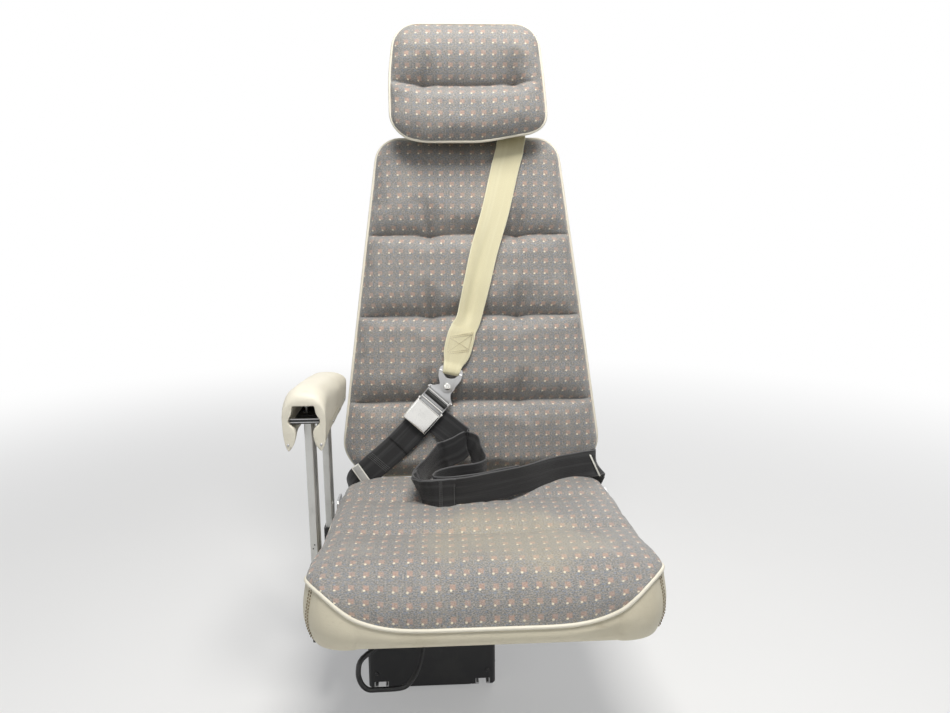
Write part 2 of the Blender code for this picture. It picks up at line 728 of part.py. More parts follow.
def hinge_brackets(parent):
    """Side plates that carry the recline axis behind the pan, with the pivot bolts in them."""
    low = PAN_TOP - PAN_FLANGE
    high = PAN_TOP - 0.0012
    lug = arc((HINGE_Y, HINGE_Z), BRACKET_LUG, -62, 165, 14)
    front = ANCHOR_FRONT - 0.052
    outline = [(front, low), (HINGE_Y - BRACKET_LUG, low)] + lug + [(PAN_REAR + 0.019, high), (front, high)]
    for side, name in ((-1, "left"), (1, "right")):
        def on_axis(x):
            return (side * x, HINGE_Y, HINGE_Z)
        inner = PAN_HALF_WIDTH + TOUCH
        outer = inner + PLATE
        plate = prism("hinge_bracket_" + name, outline, "X", side * inner, side * outer, steel, parent)
        drill(plate, on_axis(inner - 0.01), on_axis(outer + 0.01), PIVOT_RADIUS + RUN, parent)
        head = outer + TOUCH
        tip = PAN_HALF_WIDTH - PLATE - 0.004
        bolt = cylinder("recline_pivot_" + name, on_axis(tip), on_axis(head + 0.001), PIVOT_RADIUS,
                        steel, parent)
        cap = cylinder("bolt_head", on_axis(head), on_axis(head + 0.005), PIVOT_HEAD, steel, parent, sides=6)
        combine(bolt, cap, "UNION")


def belt_anchors(parent):
    """Slotted tabs on the outside of the hinge brackets, where the lap belt is looped."""
    outline = rounded_rectangle((ANCHOR_FRONT, ANCHOR_LOW), (ANCHOR_REAR + 0.006, ANCHOR_TOP), 0.010)
    outline = [(y, z) for y, z in outline if z > ANCHOR_LOW]
    strip = rounded_rectangle((ANCHOR_FRONT, ANCHOR_LOW), (ANCHOR_REAR, PAN_TOP - 0.0022), 0.004)
    step = rounded_rectangle((ANCHOR_FRONT, ANCHOR_LOW + 0.0005), (ANCHOR_REAR, ANCHOR_LOW + 0.0035), 0.001)
    slot_low = (ANCHOR_FRONT + 0.006, ANCHOR_TOP - 0.016)
    slot_high = (ANCHOR_REAR, ANCHOR_TOP - 0.010)
    hole = rounded_rectangle(slot_low, slot_high, 0.0025)
    lift = ANCHOR_X + ANCHOR_STANDOFF
    for side, name in ((-1, "belt_anchor_left"), (1, "belt_anchor_right")):
        def sheet(label, shape, inner, outer):
            return prism(label, shape, "X", side * inner, side * outer, steel, parent)
        base = sheet(name, strip, ANCHOR_X, ANCHOR_X + SHEET)
        combine(base, sheet("anchor_tab", outline, lift, lift + SHEET), "UNION")
        combine(base, sheet("anchor_foot", step, ANCHOR_X + 0.001, lift + 0.001), "UNION")
        combine(base, sheet("anchor_slot", hole, lift - 0.01, lift + 0.02), "DIFFERENCE")


def back_half_width(v, grow=0.0):
    """Outline of the back: straight tapered sides with round corners above and below."""
    half = BACK_HALF_WIDTH - (v - BACK_WIDEST) * BACK_TAPER
    if v < BACK_WIDEST:
        half = BACK_HALF_WIDTH + (v - BACK_WIDEST) * 0.06
    half += grow
    ends = ((BACK_TOP + grow - v, BACK_TOP_CORNER), (v - BACK_LOW + grow, BACK_LOW_CORNER))
    for end, corner in ends:
        if end < corner:
            half -= corner - math.sqrt(max(corner ** 2 - (corner - end) ** 2, 0.0))
    return half


def back_outline(grow, z):
    """Closed outline of the back at one depth, grown or shrunk all round."""
    low = BACK_LOW - grow
    high = BACK_TOP + grow
    steps = rolled_rows(low, BACK_LOW_CORNER, (0, 20, 40, 60, 78))
    steps += [BACK_WIDEST + (BACK_TOP - BACK_WIDEST) * share for share in (0, 0.26, 0.53, 0.79)]
    steps += rolled_rows(high, -BACK_TOP_CORNER, (78, 60, 40, 20, 0))
    right = [(back_half_width(v, grow), v, z) for v in steps]
    left = [(-x, v, z) for x, v, z in reversed(right)]
    return right + left


def back_surface(s, v):
    half = back_half_width(v)
    crown = BACK_CROWN - channel_dip(v, BACK_SEAMS, BACK_SEAM_DEPTH)
    share = roll((1 - abs(s)) * half, BACK_SIDE_ROLL) * roll(BACK_TOP - v, BACK_ROLL)
    share *= roll(v - BACK_LOW, BACK_ROLL)
    return (s * half, v, BACK_PIPING + (crown - BACK_PIPING) * share)


def back_cushion(parent):
    low_rows = rolled_rows(BACK_LOW, BACK_ROLL, (0, 25, 50, 70))
    high_rows = rolled_rows(BACK_TOP, -BACK_ROLL, (0, 20, 40, 60, 76))
    rows = panel_rows((BACK_LOW + BACK_ROLL, *BACK_SEAMS, BACK_TOP - BACK_ROLL), 6, low_rows, high_rows)
    pad("back_cushion", spread(14), rows, back_surface, BACK_PAD_REAR, fabric, parent)


def hoop_z():
    return BACK_PAD_REAR - TOUCH - HOOP_RADIUS


def back_shell(parent):
    """Covered tray behind the pad: it closes over the hoop and shows as the boxing at the sides."""
    lip = BACK_PAD_REAR - TOUCH
    floor = hoop_z() - HOOP_RADIUS - TOUCH
    rear = floor - SHELL_WALL
    grow = SHELL_PROUD
    inside = grow - SHELL_WALL
    profile = [(inside - 0.006, floor), (inside, floor + 0.006), (inside, lip), (grow - 0.001, lip)]
    profile += [(grow, lip - 0.002), (grow, rear + 0.009), (grow - 0.003, rear + 0.003), (grow - 0.010, rear)]
    shell = loft("back_shell", [back_outline(size, z) for size, z in profile], vinyl, parent)

    def notch(left, right, height, depth):
        cut_box(shell, (left, -0.02, floor - depth), (right, BACK_LOW + height, lip + 0.01), parent)
    for side in (-1, 1):
        centre = side * (PAN_HALF_WIDTH - PLATE / 2 - 2 * TOUCH)
        reach = PLATE / 2 + 0.0015
        notch(centre - reach, centre + reach, 0.055, 0.001)
        leg = side * (HOOP_LOW_X - 0.0015)
        reach = HOOP_RADIUS + 0.0025
        notch(leg - reach, leg + reach, 0.030, 0.0005)
        post = side * POST_X
        drill(shell, (post, BACK_TOP - 0.02, hoop_z()), (post, BACK_TOP + 0.03, hoop_z()),
              GUIDE_RADIUS + TOUCH, parent)
    lug = STRUT_X + STRUT_LUG_GAP
    notch(lug - 0.0015, lug + PLATE + 0.0015, 0.008, 0.0005)


def hoop_x(v):
    return HOOP_LOW_X - (v - HOOP_LOW) * BACK_TAPER


def back_frame(parent):
    """Bent tube hoop that follows the taper of the back, drilled for the post guides."""
    bend = HOOP_BEND
    corner = hoop_x(HOOP_TOP) - bend
    straight = HOOP_TOP - bend - HOOP_LOW
    side = [(hoop_x(v), v) for v in (HOOP_LOW + straight * share for share in (0, 0.34, 0.70, 1))]
    turn = arc((corner, HOOP_TOP - bend), bend, 14, 90, 7)
    half = side + turn
    points = [Vector((x, v, hoop_z())) for x, v in half + [(-x, v) for x, v in reversed(half)]]
    rings = []
    for i, point in enumerate(points):
        ahead = (points[min(i + 1, len(points) - 1)] - points[max(i - 1, 0)]).normalized()
        across = ahead.cross(Vector((0, 0, 1))) * HOOP_RADIUS
        lift = Vector((0, 0, HOOP_RADIUS))
        turns = [2 * math.pi * k / 20 for k in range(20)]
        rings.append([point + across * math.cos(t) + lift * math.sin(t) for t in turns])
    frame = loft("back_frame", rings, aluminium, parent)
    for across in (-POST_X, POST_X):
        drill(frame, (across, HOOP_TOP - 0.03, hoop_z()), (across, HOOP_TOP + 0.03, hoop_z()),
              GUIDE_RADIUS + TOUCH, parent, sides=16)
    reach = hoop_x(BACK_TUBE_V + BACK_TUBE_RADIUS) - HOOP_RADIUS * 1.01 - TOUCH
    cylinder("back_cross_tube", (-reach, BACK_TUBE_V, hoop_z()), (reach, BACK_TUBE_V, hoop_z()),
             BACK_TUBE_RADIUS, aluminium, parent)


def back_arms(parent):
    """Side arms between the recline axis and the hoop."""
    front = hoop_z() + HOOP_RADIUS
    rear = hoop_z() - HOOP_RADIUS
    lug = arc((0, 0), LUG_RADIUS, -65, -325, 14)
    middle = (front + rear) / 2
    top = arc((ARM_TOP, middle), (front - rear) / 2, 65, -65, 6)
    outline = lug + [(0.034, front)] + top + [(0.020, rear)]
    for side, name in ((-1, "back_arm_left"), (1, "back_arm_right")):
        outer = side * (PAN_HALF_WIDTH - TOUCH)
        inner = outer - side * (PLATE - TOUCH)
        arm = prism(name, outline, "X", inner, outer, steel, parent)
        drill(arm, (inner - side * 0.01, 0, 0), (outer + side * 0.01, 0, 0), PIVOT_RADIUS + RUN, parent)


def back_local(y, z):
    """A world point of the seat's side view, in the back's own up and front directions."""
    lean = math.sin(RECLINE)
    rise = math.cos(RECLINE)
    dy = y - HINGE_Y
    dz = z - HINGE_Z
    return (dy * lean + dz * rise, dz * lean - dy * rise)


def strut_geometry():
    """Strut pin at rest, and the height of the rod half way between the pin's highest and lowest place."""
    half = RECLINE_RANGE / 2
    pin = (HINGE_Y + STRUT_ARM * math.sin(half), HINGE_Z - STRUT_ARM * math.cos(half))
    rod_z = (pin[1] + HINGE_Z - STRUT_ARM) / 2
    return pin, rod_z


def recline_strut(parent, rod_parent, back_parent):
    """Locking cylinder under the pan, its rod, and the lug that the rod's eye pulls on."""
    pin, z = strut_geometry()
    front = (STRUT_X, STRUT_FRONT, z)
    body = cylinder("strut_cylinder", front, (STRUT_X, STRUT_REAR, z), STRUT_RADIUS, steel, parent)
    drill(body, (STRUT_X, STRUT_FRONT + 0.014, z), (STRUT_X, STRUT_REAR + 0.01, z), STRUT_ROD + RUN, parent)
    inner_end = STRUT_FRONT + 0.020 + STRUT_ARM * 2 * math.sin(RECLINE_RANGE / 2)
    outer_end = pin[0] - STRUT_EYE_HOLE - 0.002
    piston = cylinder("strut_rod", (STRUT_X, inner_end, z), (STRUT_X, outer_end, z), STRUT_ROD,
                      chrome, rod_parent)
    eye = cylinder("strut_eye", (STRUT_X - 0.003, pin[0], z), (STRUT_X + 0.003, pin[0], z), STRUT_EYE,
                   steel, rod_parent)
    combine(piston, eye, "UNION")
    drill(piston, (STRUT_X - 0.02, pin[0], z), (STRUT_X + 0.02, pin[0], z), STRUT_EYE_HOLE, rod_parent)
    shelf = tube_z() - TUBE_RADIUS - TOUCH
    heel = STRUT_FRONT - 0.014
    face = STRUT_FRONT - TOUCH
    toe = TUBE_FRONT_Y + 0.012
    profile = [(heel, z - 0.011), (face, z - 0.011), (face, shelf - 0.010), (toe, shelf - 0.010)]
    profile += [(toe, shelf), (heel, shelf)]
    prism("strut_bracket", profile, "X", STRUT_X - 0.009, STRUT_X + 0.009, steel, parent)
    v, depth = back_local(*pin)
    away = math.hypot(v, depth)
    up = (-v / away * STRUT_BOSS, -depth / away * STRUT_BOSS)
    seat = BACK_TUBE_V - BACK_TUBE_RADIUS - TOUCH
    saddle = hoop_z() + BACK_TUBE_RADIUS * 0.2 + 0.004
    outline = [(v - up[1], depth + up[0]), (v - up[0], depth - up[1]), (v + up[1], depth - up[0])]
    outline += [(-0.004, hoop_z() - 0.008), (seat, hoop_z() - 0.007), (seat, saddle), (0.010, saddle)]
    near = STRUT_X + STRUT_LUG_GAP
    lug = prism("strut_lug", outline, "X", near, near + PLATE, steel, back_parent)
    axle = cylinder("strut_pin", (STRUT_X - 0.006, v, depth), (near + 0.002, v, depth), STRUT_PIN, steel,
                    back_parent, 16)
    combine(lug, axle, "UNION")


def post_guides(parent):
    """Guide tubes in the hoop's top bar, with a collar on top of the back."""
    bore = POST_RADIUS + RUN
    rim = BACK_TOP + SHELL_PROUD + TOUCH
    z = hoop_z()
    for side, name in ((-1, "post_guide_left"), (1, "post_guide_right")):
        x = side * POST_X

        def ring(v, radius):
            turns = [2 * math.pi * i / 20 for i in range(20)]
            return [(x + radius * math.cos(t), v, z + radius * math.sin(t)) for t in turns]
        profile = [(GUIDE_LOW, bore), (GUIDE_LOW, GUIDE_RADIUS), (rim, GUIDE_RADIUS), (rim, GUIDE_COLLAR)]
        profile += [(rim + 0.0025, GUIDE_COLLAR), (rim + 0.0035, GUIDE_COLLAR - 0.001), (rim + 0.0035, bore)]
        loft(name, [ring(v, radius) for v, radius in profile], steel, parent, closed=True)


def headrest_half_width(v):
    share = (v - HEAD_LOW) / (HEAD_TOP - HEAD_LOW)
    half = HEAD_HALF_LOW + (HEAD_HALF_TOP - HEAD_HALF_LOW) * share ** 1.5
    for end in (HEAD_TOP - v, v - HEAD_LOW):
        if end < HEAD_CORNER:
            half -= HEAD_CORNER - math.sqrt(max(HEAD_CORNER ** 2 - (HEAD_CORNER - end) ** 2, 0.0))
    return half


def headrest_surface(s, v):
    half = headrest_half_width(v)
    x = s * half
    share = roll((1 - abs(s)) * half, HEAD_ROLL) * roll(HEAD_TOP - v, HEAD_ROLL)
    share *= roll(v - HEAD_LOW, HEAD_ROLL)
    tuft = min(math.hypot(abs(x) - HEAD_TUFT_X, v - HEAD_TUFT_V) / HEAD_TUFT_REACH, 1.0)
    dip = HEAD_TUFT_DEPTH * (1 - tuft) ** 2
    return (x, v, HEAD_PIPING + (HEAD_CROWN - HEAD_PIPING) * share - dip)


def headrest(parent):
    """Front pad, backing block and the two posts that run in the guides."""
    edge = 0.034
    turns = (0, 25, 50, 72)
    rows = panel_rows((HEAD_LOW + edge, HEAD_TOP - edge), 8, rolled_rows(HEAD_LOW, edge, turns),
                      rolled_rows(HEAD_TOP, -edge, turns))
    pad("headrest_pad", spread(14, 1.4), rows, headrest_surface, HEAD_PAD_REAR, fabric, parent)

    def ring(inset, z):
        low = (inset - BACKING_HALF, BACKING_LOW + inset)
        high = (BACKING_HALF - inset, BACKING_TOP - inset)
        return [(x, v, z) for x, v in rounded_rectangle(low, high, BACKING_CORNER - inset, 4)]
    front = HEAD_PAD_REAR - TOUCH
    rings = [ring(0.002, front), ring(0, front - 0.004), ring(0, BACKING_REAR + 0.012)]
    rings += [ring(0.004, BACKING_REAR + 0.003), ring(0.012, BACKING_REAR)]
    backing = loft("headrest_backing", rings, vinyl, parent)
    for side, name in ((-1, "headrest_post_left"), (1, "headrest_post_right")):
        x = side * POST_X
        top = BACKING_LOW + POST_DEPTH
        drill(backing, (x, BACKING_LOW - 0.01, hoop_z()), (x, top + TOUCH, hoop_z()), POST_RADIUS + RUN,
              parent)
        cylinder(name, (x, POST_LOW, hoop_z()), (x, top, hoop_z()), POST_RADIUS, chrome, parent)


def armrest_section(y):
    """Top and underside of the arm pad at a place along it."""
    share = (y - ARM_FRONT) / (ARM_REAR - ARM_FRONT)
    top = ARM_TOP_FRONT + (ARM_TOP_REAR - ARM_TOP_FRONT) * share
    under = ARM_UNDER + 0.004 * math.sin(math.pi * share)
    return top, under


def armrest_ring(y, inset, channel):
    """Section of the arm pad: round shoulders outside, and a channel that may be open or closed up."""
    top, under = armrest_section(y)
    top -= inset * 0.8
    under += inset * 0.3
    wide = ARM_WIDTH / 2 - inset * 0.6
    low = wide - ARM_TUCK
    inner = min(ARM_CHANNEL / 2, low - ARM_TUCK)
    roof = ARM_CHANNEL_TOP if channel else under
    right = [(inner, roof), (inner, under), (low - ARM_TUCK, under), (low, under + ARM_TUCK)]
    right += [(wide - 0.001, under + 0.02), (wide, top - 0.020)]
    right += [(wide - 0.003, top - 0.010), (wide - 0.010, top - 0.003), (wide * 0.35, top)]
    return [(ARM_X + x, y, z) for x, z in right + [(-x, z) for x, z in reversed(right)]]


def armrest_pad(parent):
    """Upholstered arm: a deep cover with two skirts, open below and to the front."""
    rings = [armrest_ring(ARM_FRONT, 0.004, True), armrest_ring(ARM_FRONT + 0.004, 0, True)]
    rings += [armrest_ring(ARM_FRONT + 0.07 * step, 0, True) for step in (1, 2)]
    rings += [armrest_ring(ARM_CHANNEL_REAR, 0, True), armrest_ring(ARM_CHANNEL_REAR, 0, False)]
    for turn in (15, 40, 65):
        angle = math.radians(turn)
        y = ARM_REAR - ARM_END_ROLL * (1 - math.sin(angle))
        rings.append(armrest_ring(y, ARM_END_ROLL * (1 - math.cos(angle)), False))
    loft("armrest_pad", rings, vinyl, parent, weld=True)


def upright_bars(parent):
    """Two flat bars with a groove down each side, one of which holds the pull rod."""
    half = BAR_THICK / 2
    deep = BAR_DEPTH / 2
    slot = BAR_GROOVE / 2
    floor = half - BAR_GROOVE_DEPTH
    for centre, name in ((BAR_FRONT_Y, "upright_front"), (BAR_REAR_Y, "upright_rear")):
        right = [(half - 0.001, -deep), (half, 0.001 - deep), (half, -slot), (floor, -slot), (floor, slot)]
        right += [(half, slot), (half, deep - 0.001), (half - 0.001, deep)]
        left = [(-x, -y) for x, y in right]
        outline = [(ARM_X + x, centre + y) for x, y in right + left]
        prism(name, outline, "Z", BAR_LOW, BAR_TOP, aluminium, parent)


def armrest_sleeves():
    """Rectangular sleeves beside the pan that guide the bars, on one box bracket."""
    half = BAR_THICK / 2 + TOUCH
    deep = BAR_DEPTH / 2 + TOUCH
    wall = SLEEVE_WALL
    for centre, name in ((BAR_FRONT_Y, "armrest_sleeve_front"), (BAR_REAR_Y, "armrest_sleeve_rear")):
        def ring(grow, z):
            low = (ARM_X - half - grow, centre - deep - grow)
            high = (ARM_X + half + grow, centre + deep + grow)
            return [(x, y, z) for x, y in rounded_rectangle(low, high, 0.0006 + grow * 0.5, 2)]
        rings = [ring(wall, SLEEVE_LOW), ring(wall, SLEEVE_TOP), ring(0, SLEEVE_TOP), ring(0, SLEEVE_LOW)]
        loft(name, rings, black_paint, closed=True)
    left = ARM_X + half + wall + TOUCH
    right = SEAT_X - PAN_HALF_WIDTH - TOUCH
    high = PAN_TOP - PAN_THICK
    low = high - SLEEVE_BRACKET

    def frame(inset, y):
        corners = (left + inset, low + inset), (right - inset, high - inset)
        return [(x, y, z) for x, z in rounded_rectangle(*corners, SHEET + 0.0005 - inset, 2)]
    start = BAR_FRONT_Y - BAR_DEPTH / 2
    end = BAR_REAR_Y - 0.080 + BAR_DEPTH
    middle = [frame(0, start), frame(0, end), frame(SHEET, end), frame(SHEET, start)]
    loft("armrest_bracket", middle, black_paint, closed=True)


def armrest_plates(parent, release_parent, rod_parent):
    """Tie plate on the bars, and the finger plate under the pad's nose with its pull rod."""
    low = BAR_TOP + TOUCH
    half = ARM_CHANNEL / 2 - 2 * TOUCH
    outline = rounded_rectangle((ARM_X - half, TIE_FRONT), (ARM_X + half, TIE_REAR), 0.002)
    tie = prism("armrest_tie_plate", outline, "Z", low, low + TIE_THICK, aluminium, parent)
    rod_x = ARM_X - BAR_THICK / 2 + PULL_ROD + RUN
    cut_box(tie, (rod_x - 0.006, BAR_FRONT_Y - 0.006, low - 0.01),
            (rod_x + 0.0035, BAR_FRONT_Y + 0.006, low + 0.02), parent)
    pivot_z = RELEASE_Z
    thick = RELEASE_THICK / 2
    foot = low + TIE_THICK - 0.0005
    crest = pivot_z - thick - TOUCH
    wedge = [(RELEASE_HINGE_Y - 0.005, foot), (RELEASE_HINGE_Y + 0.005, foot)]
    wedge += [(RELEASE_HINGE_Y + 0.0015, crest), (RELEASE_HINGE_Y - 0.0015, crest)]
    reach = half - 0.004
    block = prism("release_bearing", wedge, "X", ARM_X - reach, ARM_X + reach, aluminium, parent)
    combine(tie, block, "UNION")
    wide = half - 0.0008
    outline = rounded_rectangle((-wide, RELEASE_FRONT - RELEASE_HINGE_Y), (wide, 0.012), 0.002)
    plate = prism("armrest_release", outline, "Z", -thick, thick, aluminium, release_parent)
    local = (rod_x - ARM_X, BAR_FRONT_Y - RELEASE_HINGE_Y)
    drill(plate, (*local, -0.01), (*local, 0.01), PULL_ROD + PULL_ROD_PLAY, release_parent, sides=12)

    def on_rod(z):
        return (rod_x, BAR_FRONT_Y, z)
    stem = cylinder("armrest_pull_rod", on_rod(PULL_ROD_LOW), on_rod(pivot_z + 0.004), PULL_ROD,
                    steel, rod_parent, 12)
    under = pivot_z + thick + 0.0005
    head = cylinder("pull_rod_head", on_rod(under), on_rod(under + 0.003), PULL_ROD_HEAD,
                    steel, rod_parent, 12)
    combine(stem, head, "UNION")


def shoulder_strap(parent):
    """Webbing from the anchor behind the back, over its top and down its front to the fitting."""
    lift = BACK_CROWN + WEB_THICK / 2 + TOUCH
    rear = hoop_z() - HOOP_RADIUS - 2 * TOUCH - SHELL_WALL - WEB_THICK / 2
    top = BACK_TOP + SHELL_PROUD + WEB_THICK / 2 + TOUCH
    x = STRAP_TOP_X
    flat = (1, 0, 0)
    route = [((x + 0.008, BACK_TOP - 0.062, rear), flat), ((x + 0.006, BACK_TOP - 0.020, rear), flat)]
    route += [((x + 0.005, top - 0.005, rear + 0.001), flat), ((x + 0.005, top, rear + 0.007), flat)]
    route += [((x + 0.003, top, -0.004), flat), ((x + 0.002, top - 0.0005, 0.014), flat)]
    route += [((x + 0.001, BACK_TOP + 0.0025, 0.0275), flat), ((x, BACK_TOP - 0.0045, 0.0370), flat)]
    route += [((x - 0.003, BACK_TOP - 0.015, 0.0442), flat), ((x - 0.006, BACK_TOP - 0.030, 0.0480), flat)]
    for v in STRAP_LOW_ROWS:
        route.append(((x - STRAP_DRIFT * (BACK_TOP - v) - 0.004 * (v < 0.45), v, lift), flat))
    route += [((*point, lift + 0.001), flat) for point in STRAP_END]
    ribbon("shoulder_strap", route, WEB_WIDTH, cream_web, parent, per_span=3)
    x += 0.008
    outline = rounded_rectangle((x - 0.032, BACK_TOP - 0.096), (x + 0.032, BACK_TOP - 0.064), 0.005)
    face = rear + WEB_THICK / 2
    anchor = prism("strap_anchor", outline, "Z", face - SHEET, face, steel, parent)
    bolt_v = BACK_TOP - 0.082
    bolt = cylinder("anchor_bolt", (x, bolt_v, face - 0.001), (x, bolt_v, face - 0.0085), 0.008,
                    steel, parent, sides=6)
    combine(anchor, bolt, "UNION")


def buckle_point(across, along):
    """A point of the buckle's own plane, in the back's directions."""
    turned = Matrix.Rotation(BUCKLE_TURN, 3, "Z") @ Vector((across, along, 0))
    return turned + Vector((BUCKLE_X, BUCKLE_V, 0))


def buckle(parent, lever_parent):
    """Buckle body, its lift lever, the tongue with a stud, and the strap's fitting on the stud."""
    half = BUCKLE_WIDTH / 2
    long = BUCKLE_LENGTH / 2
    inner = half - BUCKLE_WALL
    channel = [(-half, 0), (half, 0), (half, BUCKLE_HEIGHT), (inner, BUCKLE_HEIGHT), (inner, BUCKLE_WALL)]
    channel += [(-inner, BUCKLE_WALL), (-inner, BUCKLE_HEIGHT), (-half, BUCKLE_HEIGHT)]
    body = prism("buckle_body", channel, "Y", -long, long, steel, parent)
    bar_y = long - BUCKLE_BAR_INSET
    bar_z = BUCKLE_WALL + BUCKLE_BAR + TOUCH
    reach = half - BUCKLE_WALL / 2
    bar = cylinder("buckle_bar", (-reach, bar_y, bar_z), (reach, bar_y, bar_z), BUCKLE_BAR, steel, parent, 16)
    combine(body, bar, "UNION")
    start = long + TOUCH
    shoulder = start + 0.006
    throat = shoulder + TONGUE_SHOULDER
    outline = [(-inner, start), (inner, start), (inner, shoulder), (TONGUE_END, throat)]
    outline += arc((0, STUD_AT), TONGUE_END, -15, 195, 12)
    outline += [(-TONGUE_END, throat), (-inner, shoulder)]
    tongue = prism("buckle_tongue", outline, "Z", 0.001, 0.001 + TONGUE_THICK, steel, parent)
    neck = cylinder("stud_neck", (0, STUD_AT, 0.003), (0, STUD_AT, 0.009), STUD_NECK, steel, parent, 16)
    head = cylinder("stud_head", (0, STUD_AT, 0.0076), (0, STUD_AT, 0.0112), STUD_HEAD, steel, parent)
    combine(tongue, neck, "UNION")
    combine(tongue, head, "UNION")
    wide = LEVER_WIDTH / 2
    lift = BUCKLE_HEIGHT + TOUCH
    skirt = 0.0045 - lift
    inside = wide - LEVER_THICK * 0.6
    section = [(-wide, skirt), (-inside, skirt), (-inside, 0), (inside, 0), (inside, skirt), (wide, skirt)]
    section += [(wide, LEVER_THICK - 0.001), (wide - 0.003, LEVER_THICK), (0.003 - wide, LEVER_THICK)]
    section += [(-wide, LEVER_THICK - 0.001)]
    prism("buckle_lever", section, "Y", -LEVER_LENGTH, 0, chrome, lever_parent)


def strap_fitting(parent):
    """Keyhole plate that drops over the stud, with a wide loop for the strap's sewn end."""
    at_stud = buckle_point(0, STUD_AT)
    end = Vector((*STRAP_END[-1], 0)) - Vector((0.001, 0.0015, 0))
    away = (end - at_stud).normalized()
    side = Vector((away.y, -away.x, 0))
    reach = (end - at_stud).length - 0.0016
    heading = math.degrees(math.atan2(away.y, away.x))
    outline = arc((at_stud.x, at_stud.y), 0.011, heading + 70, heading + 290, 12)
    for across, along in ((0.021, reach - 0.006), (0.024, reach), (-0.024, reach), (-0.021, reach - 0.006)):
        point = at_stud + away * along + side * across
        outline.append((point.x, point.y))
    low = BUCKLE_LIFT + 0.0035 + TOUCH
    plate = prism("strap_fitting", outline, "Z", low, low + 0.0022, steel, parent)
    drill(plate, (*at_stud.xy, low - 0.01), (*at_stud.xy, low + 0.01), STUD_NECK + RUN, parent)
    slot = []
    for across, along in ((0.011, 0.020), (0.017, reach - 0.005), (-0.017, reach - 0.005), (-0.011, 0.020)):
        point = at_stud + away * along + side * across
        slot.append((point.x, point.y))
    cutter = prism("fitting_slot", slot, "Z", low - 0.01, low + 0.01, steel, parent)
    combine(plate, cutter, "DIFFERENCE")


def lap_belt_left(parent):
    """Short half of the lap belt: from the buckle down the back to the left anchor."""
    lift = BACK_CROWN + WEB_THICK / 2 + 2 * TOUCH
    end = -BUCKLE_LENGTH / 2 - 3 * TOUCH
    across = (0.743, -0.669, 0)
    route = [((*buckle_point(0, end).xy, lift + 0.0025), across)]
    route += [((*buckle_point(0, end - 0.0112).xy, lift + 0.001), across)]
    route += [((*buckle_point(0.0037, end - 0.0330).xy, lift), (0.70, -0.71, 0))]
    route += [((-0.148, 0.079, lift), (0.62, -0.78, 0)), ((-0.170, 0.064, lift), (0.50, -0.86, 0))]
    tab = -(ANCHOR_X + ANCHOR_STANDOFF + SHEET / 2)
    turned = Matrix.Rotation(RECLINE - math.pi / 2, 3, "X")

    def seat_point(x, y, z, across):
        v, depth = back_local(y, z)
        return ((x, v, depth), turned @ Vector(across))
    top = ANCHOR_TOP + 0.002
    route.append(seat_point(tab + 0.0367, 0.041, top + 0.0425, (0.40, -0.25, -0.86)))
    route.append(seat_point(tab + 0.0117, 0.036, top + 0.0320, (0.15, -0.75, -0.60)))
    route.append(seat_point(tab + 0.0012, 0.031, top + 0.0150, (0.02, -0.98, -0.15)))
    route.append(seat_point(tab, 0.030, top, (0, -1, 0)))
    ribbon("lap_belt_left", route, LAP_SHORT_WIDTH, black_web, parent)


def lap_belt_right(parent):
    """Long half of the lap belt: it stands on its edge on the cushion in loose folds."""
    def on_edge(x, y, lift):
        return ((x, y, cushion_crown(y) + 2 * TOUCH + WEB_WIDTH / 2 + lift), (0, 0, 1))
    top = CUSHION_CROWN
    route = [((-0.012, 0.041, top + 0.061), (-0.35, 0.05, 0.93))]
    route += [((-0.034, 0.036, top + 0.050), (-0.25, 0.05, 0.97))]
    route += [on_edge(*place) for place in LAP_LONG]
    ribbon("lap_belt_right", route, WEB_WIDTH, black_web, parent)
    ribbon("lap_belt_tail", [on_edge(*place) for place in LAP_TAIL], WEB_WIDTH, black_web, parent)


def main():
    clear_scene()
    seat = make_empty("seat_datum", (SEAT_X, 0, 0))
    back = make_empty("backrest_hinge", (0, HINGE_Y, HINGE_Z), seat, (math.pi / 2 - RECLINE, 0, 0))
    head = make_empty("headrest_slide", (0, 0, 0), back)
    arm = make_empty("armrest_slide", (0, 0, 0))
    release = make_empty("armrest_release_hinge", (ARM_X, RELEASE_HINGE_Y, RELEASE_Z), arm)
    pull = make_empty("armrest_pull_slide", (0, 0, 0), arm)
    handle = make_empty("handle_hinge", (0, SHAFT_Y, SHAFT_Z))
    lock = make_empty("lock_slide", (0, 0, 0))
    strut = make_empty("strut_slide", (0, 0, 0), seat)
    clasp = make_empty("buckle_datum", (BUCKLE_X, BUCKLE_V, BUCKLE_LIFT), back, (0, 0, BUCKLE_TURN))
    lever = make_empty("buckle_lever_hinge", (0, LEVER_HINGE, BUCKLE_HEIGHT + TOUCH), clasp)

    pedestal_shell()
    base_plate()
    track_shoes()
    release_handle(handle)
    handle_shaft(handle)
    shaft_bracket()
    lock_yoke(lock)
    lock_bridge()
    lock_springs(lock)
    cross_tubes()
    seat_pan(seat)
    seat_cushion(seat)
    hinge_brackets(seat)
    belt_anchors(seat)
    back_frame(back)
    back_arms(back)
    back_cushion(back)
    back_shell(back)
    post_guides(back)
    recline_strut(seat, strut, back)
    headrest(head)
    armrest_pad(arm)
    upright_bars(arm)
    armrest_sleeves()
    armrest_plates(arm, release, pull)
    shoulder_strap(back)
    buckle(clasp, lever)
    strap_fitting(back)
    lap_belt_left(back)
    lap_belt_right(seat)


